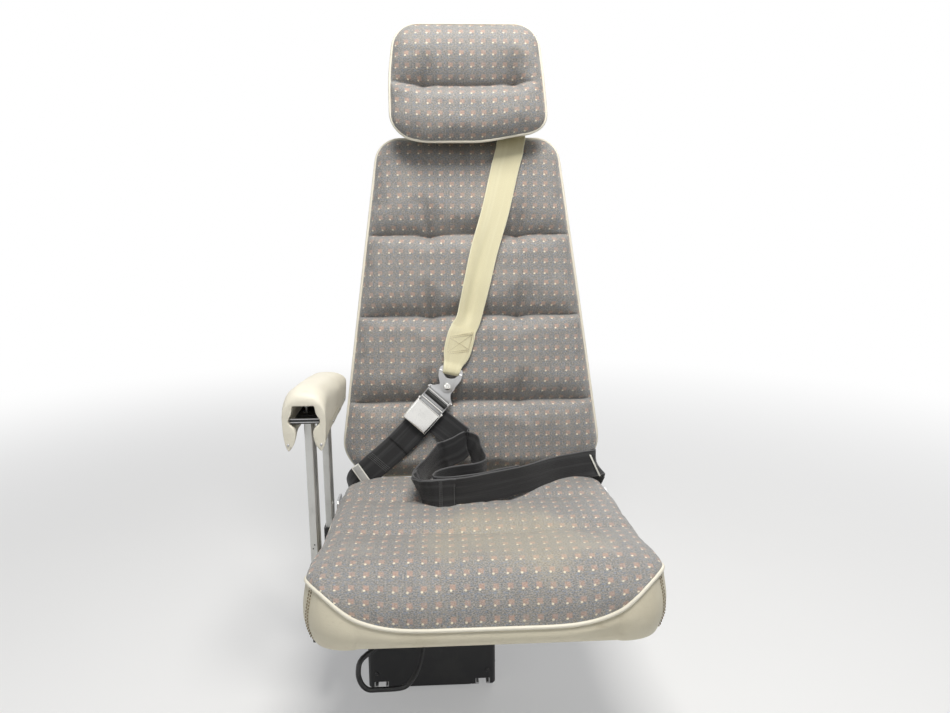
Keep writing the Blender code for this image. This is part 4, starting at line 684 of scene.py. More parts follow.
def seed_shape(kind):
    """The small shape that a tree repeats: one stitch, one screw head or one rivet head."""
    if kind in bpy.data.objects:
        return bpy.data.objects[kind]
    profile, sides = SEED_PROFILES[kind]
    rings = []
    for along, radius in profile:
        ring = []
        for k in range(sides):
            turn = k * 2 * math.pi / sides
            recess = kind == "screw" and radius <= SCREW_RECESS and k % 4
            reach = radius * (0.52 if recess else 1.0)
            a, b = reach * math.cos(turn), reach * math.sin(turn)
            ring.append((along, a, b) if kind == "stitch" else (a, b, along))
        rings.append(ring)
    bm = bmesh.new()
    loops = [[bm.verts.new(p) for p in ring] for ring in rings]
    for first, second in zip(loops, loops[1:]):
        wall(bm, first, second)
    bm.faces.new(list(reversed(loops[0])))
    bm.faces.new(loops[-1])
    bmesh.ops.recalc_face_normals(bm, faces=bm.faces[:])
    mesh = bpy.data.meshes.new(kind)
    bm.to_mesh(mesh)
    bm.free()
    shape = bpy.data.objects.new(kind, mesh)
    bpy.context.collection.objects.link(shape)
    shape.hide_render = True
    return shape


def stitches(name, paths, pitch, length, material, body):
    """A row of stitches along each path."""
    bm = bmesh.new()
    for path in paths:
        chain = [bm.verts.new(p) for p in path]
        for a, b in zip(chain, chain[1:]):
            bm.edges.new((a, b))
    mesh = bpy.data.meshes.new(name)
    bm.to_mesh(mesh)
    bm.free()
    piece = link(name, mesh, [material])
    tree = bpy.data.node_groups.get("stitch row") or instance_tree("stitch row", seed_shape("stitch"), True)
    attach(run_tree(piece, tree, pitch, length, material), body)


def fasteners(name, kind, places, radius, material, body):
    """Screw or rivet heads at points, each with the direction that it faces."""
    mesh = bpy.data.meshes.new(name)
    mesh.from_pydata([p for p, _ in places], [], [])
    facing = mesh.attributes.new("facing", "FLOAT_VECTOR", "POINT")
    for slot, (_, direction) in zip(facing.data, places):
        slot.vector = direction
    piece = link(name, mesh, [material])
    tree = bpy.data.node_groups.get(kind + " set") or instance_tree(kind + " set", seed_shape(kind), False)
    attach(run_tree(piece, tree, 1.0, radius, material), body)


def roll(distance, radius):
    """Height share of a rounded edge: 0 on the edge, 1 from the radius inwards."""
    share = min(max(distance / radius, 0.0), 1.0)
    return math.sqrt(1 - (1 - share) ** 2)


def ease(value):
    value = min(max(value, 0.0), 1.0)
    return value * value * (3 - 2 * value)


def edge_rows(start, reach, count, side):
    """Rows that crowd at a rolled end."""
    return [start + side * reach * (1 - math.cos(math.pi / 2 * i / count)) for i in range(count)]


def pad_rows(low, high, roll_low, roll_high, pitch):
    first = edge_rows(low, roll_low, 9, 1)
    last = edge_rows(high, roll_high, 9, -1)
    start, end = low + roll_low, high - roll_high
    count = int(round((end - start) / pitch))
    middle = [start + (end - start) * i / count for i in range(count + 1)]
    return first + middle + list(reversed(last))


def pad_columns(count, crowd):
    values = []
    for i in range(count + 1):
        share = 2 * i / count - 1
        values.append(math.copysign(1 - (1 - abs(share)) ** crowd, share))
    return values


def with_seams(rows, seams):
    """Rows with close ones round each sewn seam."""
    steps = (-0.0085, -0.0044, -0.0016, 0.0, 0.0016, 0.0044, 0.0090)
    close = [seam + step for seam in seams for step in steps]
    kept = [row for row in rows if min(abs(row - mark) for mark in close) > 0.0028]
    return sorted(kept + close)


BASE_RIM = 0.72


def pad_mesh(name, rows, columns, surface, boxing, to_row, cloth):
    """Closed pad in a local frame: cover grid in cloth, boxing below its edge in vinyl, and a flat base.

    Returns the piece, the cover's indices as a grid, the indices of its edge loop, and a path down the
    boxing at each point of that loop.
    """
    points = [[Vector(surface(s, t)) for s in columns] for t in rows]
    wide, tall = len(columns), len(rows)
    loop = [(0, i) for i in range(wide)] + [(j, wide - 1) for j in range(1, tall)]
    loop += [(tall - 1, i) for i in range(wide - 2, -1, -1)] + [(j, 0) for j in range(tall - 2, 0, -1)]
    bm = bmesh.new()
    uv = bm.loops.layers.uv.new("weave")
    crease = bm.edges.layers.float.new("crease_edge")
    grid = [[bm.verts.new(point) for point in row] for row in points]
    middle = wide // 2
    across = [[0.0] * wide for _ in rows]
    for j in range(tall):
        for i in range(middle + 1, wide):
            across[j][i] = across[j][i - 1] + (points[j][i] - points[j][i - 1]).length
        for i in range(middle - 1, -1, -1):
            across[j][i] = across[j][i + 1] - (points[j][i] - points[j][i + 1]).length
    along = [0.0] * tall
    for j in range(1, tall):
        along[j] = along[j - 1] + (points[j][middle] - points[j - 1][middle]).length
    for j in range(tall - 1):
        for i in range(wide - 1):
            face = bm.faces.new((grid[j][i], grid[j][i + 1], grid[j + 1][i + 1], grid[j + 1][i]))
            for corner, (a, b) in zip(face.loops, ((j, i), (j, i + 1), (j + 1, i + 1), (j + 1, i))):
                corner[uv].uv = (across[a][b], along[a])
    edge = [grid[j][i] for j, i in loop]
    count = len(edge)
    outward = []
    for k in range(count):
        ahead = edge[(k + 2) % count].co - edge[k - 2].co
        outward.append(Vector((ahead.y, -ahead.x, 0)).normalized())
    previous = edge
    walls = [edge]
    for offset, depth in boxing:
        ring = []
        for k in range(count):
            base = edge[k].co
            x, y, z = base + outward[k] * offset(base, outward[k])
            ring.append(bm.verts.new((x, y, depth(base))))
        for k in range(count):
            n = (k + 1) % count
            face = bm.faces.new((previous[k], ring[k], ring[n], previous[n]))
            face.material_index = 1
        previous = ring
        walls.append(ring)
    centre = sum((v.co for v in previous), Vector()) / count
    inner = [bm.verts.new(centre.lerp(v.co, BASE_RIM)) for v in previous]
    for k in range(count):
        n = (k + 1) % count
        bm.faces.new((previous[k], inner[k], inner[n], previous[n])).material_index = 1
    for k in range(count):
        bm.edges.get((edge[k], edge[(k + 1) % count]))[crease] = 1.0
    bm.verts.index_update()
    cover = [[v.index for v in row] for row in grid]
    rim = [v.index for v in edge]
    side = [[Vector(to_row(*(ring[k].co + outward[k] * 0.0009))) for ring in walls] for k in range(count)]
    for vertex in bm.verts:
        vertex.co = to_row(*vertex.co)
    piece = from_bmesh(name, bm, [cloth, "vinyl"], None, recalculate=False)
    return piece, cover, rim, side


def inflate(piece, cover, held, pressure, cap, stretch, frames=20):
    """Blow the cover up with Cloth between its seams, cap the rise and keep the result."""
    before = [vertex.co.copy() for vertex in piece.data.vertices]
    free = {index for row in cover for index in row} - held
    group = piece.vertex_groups.new(name="held")
    group.add([i for i in range(len(before)) if i not in free], 1.0, "REPLACE")
    modifier = piece.modifiers.new("stuffing", "CLOTH")
    settings = modifier.settings
    settings.quality = 5
    settings.mass = 0.15
    settings.tension_stiffness = 14
    settings.compression_stiffness = 10
    settings.shear_stiffness = 6
    settings.bending_stiffness = 0.35
    settings.vertex_group_mass = "held"
    settings.use_pressure = True
    settings.uniform_pressure_force = pressure
    settings.shrink_min = -stretch
    settings.effector_weights.gravity = 0
    modifier.collision_settings.use_collision = False
    modifier.point_cache.frame_start = 1
    modifier.point_cache.frame_end = frames
    scene = bpy.context.scene
    for number in range(1, frames + 1):
        scene.frame_set(number)
    graph = bpy.context.evaluated_depsgraph_get()
    after = [vertex.co.copy() for vertex in piece.evaluated_get(graph).data.vertices]
    piece.modifiers.clear()
    piece.vertex_groups.clear()
    scene.frame_set(1)
    for index in free:
        move = after[index] - before[index]
        if move.length > cap:
            move *= cap / move.length
        piece.data.vertices[index].co = before[index] + move
    piece.data.update()


def subdivide(piece, levels=1):
    """Round a mesh and close what is still open at its base."""
    modifier = piece.modifiers.new("round", "SUBSURF")
    modifier.levels = levels
    modifier.render_levels = levels
    bake(piece)
    bm = bmesh.new()
    bm.from_mesh(piece.data)
    open_edges = [edge for edge in bm.edges if edge.is_boundary]
    if open_edges:
        for face in bmesh.ops.contextual_create(bm, geom=open_edges)["faces"]:
            face.material_index = 1
        bmesh.ops.recalc_face_normals(bm, faces=bm.faces[:])
        bm.to_mesh(piece.data)
    bm.free()
    piece.data.shade_smooth()


def near(value, places, reach):
    """How close a value is to the nearest of some places: 1 on it, 0 from the reach on."""
    return max(0.0, 1 - min(abs(value - place) for place in places) / reach)


def crumple(x, y, scale, seed):
    return noise.noise(Vector((x * scale, y * scale, seed)))


def corner_cut(end, corner):
    """How far a round corner takes an edge in at a distance from its end."""
    if end >= corner:
        return 0.0
    return corner - math.sqrt(max(corner ** 2 - (corner - end) ** 2, 0.0))


def cushion_half_width(sizes, y):
    half = sizes.cushion_half_width + 0.0058 * ease((-0.200 - y) / 0.08)
    half -= 0.012 * max(0.0, (y + 0.150) / 0.194) ** 2
    half -= corner_cut(y - sizes.cushion_front, FRONT_CORNER)
    return half - corner_cut(sizes.cushion_rear - y, 0.044)


CUSHION_SEAMS = (-0.203, -0.072)
BACK_SEAMS = (0.169, 0.320, 0.462)
PLEATS = (-0.071, 0.084)
TUFTS = (-0.077, 0.077)
FRONT_CORNER = 0.066
TOP_CORNER = 0.034
LOW_CORNER = 0.060
BACK_EDGE = 0.018
HEAD_EDGE = 0.078
HEAD_SEAM = 0.6985


def cushion_surface(sizes, s, y):
    half = cushion_half_width(sizes, y)
    x = s * half
    front = y - sizes.cushion_front
    inset = min(max((sizes.cushion_half_width - 0.021 - abs(x)) / 0.150, 0.0), 1.0)
    middle = 1 - (1 - inset) ** 3.16
    dip = sizes.cushion_dip * middle * max(0.0, 1 - max(front - 0.012, 0.0) / 0.040)
    rise = (0.010 if x > 0 else 0.006) * (1 - middle) * ease((0.12 - front) / 0.08)
    edge = sizes.cushion_piping + rise - dip
    crown = sizes.cushion_crown - 0.005 - 0.008 * min(max(front - 0.07, 0.0) / 0.33, 1.0)
    bend = 0.006 * math.sin(x * 14.0 + 0.6) + 0.003 * math.sin(x * 31.0)
    soft = 0.62 + 0.38 * math.sin(x * 9.0 + 2.2) ** 2
    soft *= 1 - abs(s) ** 4
    crown -= sizes.channel_depth * 0.62 * soft * near(y + bend, CUSHION_SEAMS, 0.026) ** 2
    crown -= 0.0030 * soft * near(y + bend, CUSHION_SEAMS, 0.009)
    for place, reach, depth in (((-0.070, -0.100), 0.040, 0.006), ((0.062, -0.196), 0.045, 0.006),
                                ((0.068, -0.072), 0.040, 0.004)):
        away = math.hypot(x - place[0], (y - place[1]) * 1.3) / reach
        crown -= depth * max(0.0, 1 - away) ** 2
    crown += 0.0018 * crumple(x, y, 24.0, 3.0) + 0.0008 * crumple(x, y, 75.0, 9.0)
    share = roll((1 - abs(s)) * half, 0.045) * roll(front, 0.055) * roll(sizes.cushion_rear - y, 0.018)
    under = ease((abs(s) - 0.982) / 0.018) * ease((front - 0.045) / 0.030)
    return (x - math.copysign(0.0048 * under, x), y, edge + (crown - edge) * share - 0.0065 * under)


def back_half_width(sizes, v, grow=0.0):
    half = sizes.back_half_width - (v - 0.100) * 0.1326
    if v < 0.100:
        half = sizes.back_half_width + (v - 0.100) * 0.06
    half += grow
    half -= corner_cut(sizes.back_top + grow - v, TOP_CORNER)
    return half - corner_cut(v - sizes.back_low + grow, LOW_CORNER)


def back_surface(sizes, s, v):
    """Channelled front: each panel bulges over the seam below it, and short pleats pull into the seam."""
    half = back_half_width(sizes, v)
    x = s * half
    crown = sizes.back_crown - 0.0045
    shift = 0.0
    for seam in BACK_SEAMS:
        up = v - seam
        reach = 0.044 if up > 0 else 0.014
        crown -= sizes.channel_depth * (1.10 if up > 0 else 0.55) * max(0.0, 1 - abs(up) / reach) ** 2.0
        crown -= 0.0062 * max(0.0, 1 - abs(up) / 0.0042)
        for place in PLEATS:
            away = x - place - 0.08 * up * math.copysign(1, place)
            fade = ease(1 - up / 0.062) if up > 0 else ease(1 + up / 0.014)
            crown -= fade * (0.0070 * math.exp(-(away / 0.0055) ** 2)
                             + 0.0085 * math.exp(-(away / 0.022) ** 2))
            shift -= 0.0032 * max(0.0, 1 - abs(up) / 0.030) * math.exp(-(away / 0.016) ** 2)
    crown += 0.0012 * crumple(x, v, 26.0, 5.0) + 0.0006 * crumple(x, v, 80.0, 2.0)
    share = roll((1 - abs(s)) * half, 0.036)
    share *= roll(sizes.back_top - v, 0.034) * roll(v - sizes.back_low, 0.034)
    return (x, v + shift * share, BACK_EDGE + (crown - BACK_EDGE) * share)


def headrest_half_width(sizes, v):
    share = max(v - sizes.head_low, 0.0) / (sizes.head_top - sizes.head_low)
    half = 0.131 - 0.017 * share ** 1.5
    half -= corner_cut(sizes.head_top - v, TOP_CORNER)
    return half - corner_cut(v - sizes.head_low, TOP_CORNER)


def headrest_surface(sizes, s, v):
    """Headrest front: the upper half folds over a crease that runs from the left edge through both tufts."""
    half = headrest_half_width(sizes, v)
    x = s * half - 0.0055 * max(-s, 0.0) * ease((v - sizes.head_low - 0.02) / 0.10)
    share = roll((1 - abs(s)) * half, 0.042)
    share *= roll(sizes.head_top - v, 0.050) * roll(v - sizes.head_low, 0.048)
    crown = 0.101 - 0.003
    line = 0.699 - 0.0030 * math.cos(min(abs(x) / 0.077, 1.0) * math.pi / 2)
    line += 0.045 * max(0.0, -x - 0.077) - 0.02 * max(0.0, x - 0.077)
    up = v - line
    strength = 1.0 if x < 0.080 else max(0.0, 1 - (x - 0.080) / 0.040)
    crown -= 0.0175 * strength * max(0.0, 1 - abs(up) / (0.046 if up > 0 else 0.018)) ** 1.9
    crown -= 0.0035 * strength * max(0.0, 1 - abs(up) / 0.0045)
    for place in TUFTS:
        away = math.hypot(x - place, up * (0.60 if up > 0 else 1.5))
        crown -= 0.0125 * max(0.0, 1 - away / 0.034) ** 2
    small = math.hypot((x + 0.102) / 2.4, v - 0.748)
    crown -= 0.0035 * max(0.0, 1 - small / 0.008)
    crown += 0.0010 * crumple(x, v, 28.0, 7.0) + 0.0006 * crumple(x, v, 85.0, 4.0)
    low = 1 - max(v - sizes.head_low, 0.0) / (sizes.head_top - sizes.head_low)
    lift = 0.014 * ease((x - 0.005) / 0.115) + 0.016 * max(0.0, (-x - 0.060) / 0.070) ** 2
    return (x, v + 0.007 + low ** 2 * lift, HEAD_EDGE + (crown - HEAD_EDGE) * share)


def soften(points, times):
    """Even out a closed line of points."""
    for _ in range(times):
        count = len(points)
        points = [(points[i - 1] + points[i] * 2 + points[(i + 1) % count]) / 4 for i in range(count)]
    return points


def add_piping(name, points, outward, radius, body):
    """Covered cord along a pad's edge, which stands a little outside the seam."""
    line = soften(points, 3)
    middle = sum(line, Vector()) / len(line)
    line = [p + outward(p, middle) * radius * 0.55 for p in line]
    dress(tube(name, line, radius, "piping", closed=True, sides=3), body)


def build_cushion(sizes):
    """Cushion: crowned cloth top, piping that dips at the front, and a boxing that covers the pan's edge."""
    rows = with_seams(pad_rows(sizes.cushion_front, sizes.cushion_rear, 0.055, 0.024, 0.0068), CUSHION_SEAMS)
    columns = pad_columns(72, 1.30)
    seam_turn = math.radians(37.0)

    def skirt(base):
        return 0.0080 * ease((0.010 - base.y) / 0.080)

    def under(fall):
        return lambda base: base.z + (PAN_TOP - skirt(base) - base.z) * fall

    def back_up(base):
        return PAN_TOP + 0.0008

    def bulge(fall):
        def offset(base, away):
            corner = max(0.0, -away.y) * abs(away.x) * 2
            turn = math.atan2(-away.y, abs(away.x))
            out = 0.0034 * math.sin(math.pi * min(fall * 1.25, 1.0))
            out += 0.0070 * corner * ease(fall / 0.75)
            out -= 0.0075 * max(0.0, (fall - 0.60) / 0.40) ** 2.2
            out -= 0.0016 * math.exp(-((turn - seam_turn) / 0.07) ** 2) * (base.y < -0.25)
            fold = math.exp(-((base.x - 0.150) / 0.030) ** 2 - ((fall - 0.55) / 0.10) ** 2)
            return out - 0.0030 * fold * (base.y < -0.30)
        return offset

    def return_offset(extra):
        return lambda base, away: bulge(1.0)(base, away) - extra
    falls = (0.05, 0.13, 0.24, 0.36, 0.48, 0.60, 0.71, 0.81, 0.90, 0.96, 1.0)
    boxing = [(bulge(fall), under(fall)) for fall in falls]
    boxing += [(return_offset(0.0024), under(1.0)), (return_offset(0.0034), under(0.97)),
               (return_offset(0.0040), back_up)]
    piece, cover, rim, side = pad_mesh("seat_cushion_cover", rows, columns,
                                       lambda s, y: cushion_surface(sizes, s, y),
                                       boxing, seat_point, "seat cloth")
    held = set(rim)
    for j, y in enumerate(rows):
        if min(abs(y - seam) for seam in CUSHION_SEAMS) < 0.0018:
            held.update(index for index in cover[j] if abs(piece.data.vertices[index].co.x - SEAT_X) < 0.165)
    inflate(piece, cover, held, 4.0, sizes.loft_height * 0.7, 0.012)
    subdivide(piece)
    dress(piece, "seat_base", "seat_cushion")
    edge = [seat_point(*p) for p in rim_line(rows, columns, cushion_surface, sizes)]
    add_piping("seat_cushion_piping", edge, plan_outward, sizes.piping_radius, "seat_base")

    corners = []
    for path in side:
        x, y = path[0].x - SEAT_X, path[0].y
        turn = math.atan2(sizes.cushion_front + FRONT_CORNER - y, max(abs(x) - 0.1678, 1e-6))
        corners.append((abs(turn - seam_turn), x, path[1:10]))
    sewn = []
    for sign in (-1, 1):
        near_seam = sorted((entry for entry in corners if entry[1] * sign > 0), key=lambda entry: entry[0])
        for _, x, path in near_seam[:1]:
            for shift in (-0.0024, 0.0024):
                across = Vector((math.sin(seam_turn) * sign, math.cos(seam_turn), 0.0)) * shift
                sewn.append([point + across for point in path])
    stitches("seat_cushion_stitches", sewn, sizes.stitch_pitch, 0.0028, "tan thread", "seat_base")


def rim_line(rows, columns, surface, sizes):
    """The edge of a pad's cover as one closed line in its local frame."""
    line = [surface(sizes, s, rows[0]) for s in columns] + [surface(sizes, 1, t) for t in rows[1:]]
    line += [surface(sizes, s, rows[-1]) for s in reversed(columns[:-1])]
    line += [surface(sizes, -1, t) for t in reversed(rows[1:-1])]
    return [Vector(p) for p in line]


def plan_outward(point, middle):
    away = point - middle
    return Vector((away.x / 0.25, away.y / 0.22, 0)).normalized()


def face_outward(point, middle):
    away = point - middle
    away -= BACK_OUT * away.dot(BACK_OUT)
    return away.normalized()


def build_back(sizes):
    rows = with_seams(pad_rows(sizes.back_low, sizes.back_top, 0.034, 0.034, 0.0066), BACK_SEAMS)
    columns = pad_columns(92, 1.25)

    def depth(fall):
        return lambda base: BACK_EDGE + (-0.0042 - BACK_EDGE) * fall

    def bulge(fall):
        return lambda base, away: 0.0035 * math.sin(math.pi / 2 * min(fall * 1.3, 1.0))
    boxing = [(bulge(fall), depth(fall)) for fall in (0.12, 0.35, 0.6, 0.85, 1.0)]
    piece, cover, rim, _ = pad_mesh("back_cushion_cover", rows, columns,
                                    lambda s, v: back_surface(sizes, s, v), boxing, back_point, "back cloth")
    held = set(rim)
    for j, v in enumerate(rows):
        if min(abs(v - seam) for seam in BACK_SEAMS) < 0.0018:
            held.update(cover[j])
    inflate(piece, cover, held, 4.0, sizes.loft_height * 0.55, 0.012)
    subdivide(piece)
    dress(piece, "backrest", "back_cushion")
    edge = [back_point(x, v, out - 0.0065 * ease((0.110 - v) / 0.060))
            for x, v, out in rim_line(rows, columns, back_surface, sizes)]
    add_piping("back_cushion_piping", edge, face_outward, sizes.piping_radius, "backrest")
    build_shell(sizes)


def back_outline(sizes, grow):
    """Closed outline of the back, grown or shrunk all round."""
    low, high = sizes.back_low - grow, sizes.back_top + grow
    steps = [low + LOW_CORNER * (1 - math.cos(math.radians(a))) for a in range(0, 88, 6)]
    steps += [0.100 + (high - TOP_CORNER - 0.100) * k / 14 for k in range(15)]
    steps += [high - TOP_CORNER * (1 - math.cos(math.radians(a))) for a in range(84, -1, -6)]
    right = [(back_half_width(sizes, v, grow), v) for v in steps]
    return right + [(-x, v) for x, v in reversed(right)]


def build_shell(sizes):
    """Vinyl cover over the back's tray: rolled front lip, side band and a rear panel sewn in with a welt."""
    lip, rear = -0.0045, -0.0289
    inset = -0.009
    profile = ((0.0010, lip), (0.0036, lip), (0.0048, lip - 0.0012), (0.0052, lip - 0.006),
               (0.0056, lip - 0.012), (0.0046, rear + 0.0072), (0.0030, rear + 0.0040),
               (0.0004, rear + 0.0018), (-0.0036, rear + 0.0004), (-0.0090, rear - 0.0004),
               (-0.030, rear - 0.0016), (-0.080, rear - 0.0028), (-0.140, rear - 0.0034))
    middle = Vector((0, (sizes.back_low + sizes.back_top) / 2))
    rings = []
    for grow, out in profile:
        outline = back_outline(sizes, max(grow, inset))
        if grow < inset:
            outline = [middle + (Vector(p) - middle) * (1 + (grow - inset) / 0.226) for p in outline]
        rings.append([back_point(x, v, out + 0.0006 * crumple(x, v, 30.0, 8.0) * (out < rear + 0.003))
                      for x, v in outline])
    bm = bmesh.new()
    loops = [[bm.verts.new(p) for p in ring] for ring in rings]
    for first, second in zip(loops, loops[1:]):
        wall(bm, first, second)
    bm.faces.new(loops[-1])
    bmesh.ops.recalc_face_normals(bm, faces=bm.faces[:])
    shell = from_bmesh("back_shell_cover", bm, ["vinyl"], 50.0, recalculate=False)
    solid = shell.modifiers.new("cover", "SOLIDIFY")
    solid.thickness = 0.0016
    solid.offset = -1
    bake(shell)
    dress(shell, "backrest", "back_shell")
    welt = [back_point(x, v, rear - 0.0002) for x, v in back_outline(sizes, -0.006)]
    seam = tube("back_shell_welt", soften(welt, 2), 0.0016, "piping", closed=True, sides=3)
    dress(seam, "backrest")
    row = [back_point(x, v, rear - 0.0013) for x, v in back_outline(sizes, -0.0135)]
    stitches("back_shell_stitches", [row + [row[0]]], sizes.stitch_pitch, 0.0028, "cream thread", "backrest")


def build_headrest(sizes):
    rows = with_seams(pad_rows(sizes.head_low, sizes.head_top, 0.034, 0.034, 0.0046), (HEAD_SEAM,))
    columns = pad_columns(64, 1.3)

    def depth(fall):
        return lambda base: HEAD_EDGE + (0.0513 - HEAD_EDGE) * fall

    def bulge(fall):
        return lambda base, away: 0.0022 * math.sin(math.pi * min(fall, 0.8)) - 0.010 * fall ** 3
    boxing = [(bulge(fall), depth(fall)) for fall in (0.12, 0.35, 0.6, 0.82, 1.0)]
    piece, cover, rim, _ = pad_mesh("headrest_cover", rows, columns,
                                    lambda s, v: headrest_surface(sizes, s, v),
                                    boxing, back_point, "back cloth")
    held = set(rim)
    for j, v in enumerate(rows):
        for i, s in enumerate(columns):
            x, _, _ = headrest_surface(sizes, s, v)
            if min(math.hypot(x - place, v - 0.700) for place in TUFTS) < 0.006:
                held.add(cover[j][i])
    inflate(piece, cover, held, 4.0, sizes.loft_height * 0.45, 0.008)
    subdivide(piece)
    dress(piece, "headrest", "headrest_pad")
    edge = [back_point(*p) for p in rim_line(rows, columns, headrest_surface, sizes)]
    add_piping("headrest_piping", edge, face_outward, sizes.piping_radius * 0.9, "headrest")
    build_backing(sizes)


def build_backing(sizes):
    """Vinyl-covered block behind the headrest pad, with a sewn edge round its rear."""
    low, high, half, rear = 0.640, 0.786, 0.106, -0.028

    def ring(inset, out):
        outline = rounded_rectangle((inset - half, low + inset), (half - inset, high - inset),
                                    max(0.022 - inset, 0.008), 7)
        return [back_point(x, v, out) for x, v in outline]
    profile = [(0.003, 0.0505), (0.0005, 0.047), (-0.0008, 0.030), (-0.0012, 0.008), (-0.0004, -0.010)]
    profile += [(0.0016, -0.019), (0.0044, -0.0246), (0.0100, -0.0278), (0.0150, -0.0284), (0.040, -0.0300)]
    profile += [(0.058, -0.0304)]
    rings = [ring(inset, out) for inset, out in profile]
    block = skin("headrest_backing_cover", rings, ["vinyl"], sharp=60.0)
    for vertex in block.data.vertices:
        p = vertex.co
        vertex.co = p + Vector((0, 0.0010, 0)) * noise.noise(p * 30.0)
    dress(block, "headrest", "headrest_backing")
    welt = tube("headrest_welt", ring(0.0070, -0.0276), 0.0016, "piping", closed=True, sides=3)
    dress(welt, "headrest")


def arm_top(y):
    share = (y - ARM_FRONT) / ARM_RUN
    return 0.5120 - 0.0262 * share + 0.002 * math.sin(math.pi * share)


def armrest_section(y, inset, channel):
    """Right half of the arm's section, from the channel's roof round the skirt to the crown."""
    nose = min(max((y - ARM_FRONT) / 0.036, 0.0), 1.0)
    swell = roll(nose, 1.0)
    share = (y - ARM_FRONT) / ARM_RUN
    roof = ARM_ROOF - 0.0006 * share if channel else 0.434 + inset
    top = roof + (arm_top(y) - inset - roof) * (0.22 + 0.78 * swell) if channel else arm_top(y) - inset
    wide = 0.0298 + 0.0022 * share - inset * 0.45 - 0.0004 * (1 - swell)
    inner = ARM_CHANNEL if channel else min(ARM_CHANNEL, wide - 0.006)
    flat = ease((y - ARM_FRONT) / 0.045)
    low = 0.4215 + 0.0125 * flat + inset * 0.3
    tip = 0.0222 + 0.0020 * flat
    lap = 0.0042 * (1 - flat)
    right = [(0.0, roof), (inner * 0.55, roof), (inner - 0.0009, roof), (inner, roof - 0.0007 * channel)]
    if channel:
        slot = 0.0060 * (1 - flat)
        right += [(inner + 0.0006, 0.4740), (inner + slot, 0.4680), (inner + slot, 0.4595)]
        right += [(inner - lap * 0.8, 0.4555), (inner - lap, 0.4430)]
        right += [(inner + 0.0006 - lap * 0.4, low + 0.0085)]
    else:
        right += [(inner + (tip - inner) * k / 7, roof - (roof - low) * k / 7) for k in range(1, 7)]
    right += [(tip - 0.0012 - 0.0020 * flat, low + 0.0012), (tip - 0.0004, low)]
    right += [(tip + 0.0008 + 0.0020 * flat, low + 0.0008), (wide - 0.0022 + 0.0008 * flat, low + 0.0060)]
    right += [(wide - 0.0008, low + 0.0150), (wide, 0.452), (wide, 0.468)]
    knee = max(top - 0.026, 0.4700)
    for step in range(0, 9):
        turn = math.radians(90.0 * step / 8)
        x = wide * math.cos(turn) ** 0.80 if step < 8 else 0.0
        right.append((x, knee + (top - knee) * math.sin(turn) ** 0.92))
    return right


def build_armrest(sizes):
    """Upholstered arm: a soft cover round a channel, open below and at the nose, with pointed skirt ends."""
    stations = [(y, 0.0, True) for y in (-0.1950, -0.1946, -0.1935, -0.1918)]
    stations += [(-0.1918 + 0.0018 * k + 0.00055 * k * k, 0.0, True) for k in range(1, 8)]
    stations += [(-0.150 + 0.170 * k / 22, 0.0, True) for k in range(23)]
    stations += [(0.0204, 0.0, False)]
    for turn in range(10, 91, 8):
        angle = math.radians(turn)
        y = min(0.0500 - 0.030 * (1 - math.sin(angle)), 0.0497)
        stations.append((y, 0.026 * (1 - math.cos(angle)), False))
    rings = []
    for y, inset, channel in stations:
        half = armrest_section(y, inset, channel)
        ring = []
        for x, z in half + [(-x, z) for x, z in reversed(half[1:-1])]:
            wrinkle = 0.0
            if abs(x) > 0.018 or z > 0.492:
                wrinkle = 0.0016 * noise.noise(Vector((x * 60, y * 24, z * 28)))
                wrinkle += 0.0009 * noise.noise(Vector((x * 40 + 7, y * 75, z * 60 + 3)))
            side = math.copysign(min(abs(x) / 0.02, 1.0), x)
            ring.append(Vector((ARM_X + x + side * wrinkle, y, z + (wrinkle if z > 0.492 else 0.0))))
        rings.append(ring)
    pad = skin("armrest_cover", rings, ["arm vinyl"], sharp=None)
    bm = bmesh.new()
    bm.from_mesh(pad.data)
    many_sided = [face for face in bm.faces if len(face.verts) > 4]
    bmesh.ops.triangulate(bm, faces=many_sided, ngon_method="EAR_CLIP")
    bm.to_mesh(pad.data)
    bm.free()
    subdivide(pad)
    pad.data.set_sharp_from_angle(angle=math.radians(62.0))
    dress(pad, "armrest", "armrest_pad")
    rivets = []
    for side in (-1, 1):
        for y in (-0.120, -0.050, 0.010):
            rivets.append((Vector((ARM_X + side * 0.0296, y, 0.4445)), Vector((side, 0, 0))))
        rivets.append((Vector((ARM_X + side * 0.0228, -0.1950, 0.4310)), Vector((0, -1, 0))))
    fasteners("armrest_rivets", "rivet", rivets, 0.0020, "steel", "armrest")
    hem = []
    for side in (-1, 1):
        hem.append([Vector((ARM_X + side * 0.0300, -0.140 + 0.155 * k / 12, 0.4520)) for k in range(13)])
    stitches("armrest_stitches", hem, sizes.stitch_pitch, 0.0026, "cream thread", "armrest")

    def on_arm(x, y, z):
        return Vector((ARM_X + x, y, z))
    bars = []
    for low, high, finish in (((-0.0148, -0.1850, 0.4600), (0.0148, -0.1600, 0.4662), "paint"),
                              ((-0.0202, -0.1900, 0.4600), (0.0202, -0.1845, 0.4662), "paint"),
                              ((-0.0206, -0.1905, 0.4662), (0.0206, -0.1860, 0.4674), "steel"),
                              ((-0.0206, -0.1908, 0.4618), (0.0206, -0.1894, 0.4630), "steel")):
        bars.append(box_piece("release_bar", on_arm, low, high, finish, 0.0002))
    grip = join("armrest_release_detail", bars)
    dress(grip, "armrest_finger_plate", "armrest_release")
    # Painted shade: a thin near-black slab stands for the shadow in the upright's notch.
    notch = box_piece("upright_notch", on_arm, (-0.0058, -0.0214, 0.4180), (0.0058, -0.0206, 0.4196), "hole",
                      0.0002)
    dress(notch, "armrest")


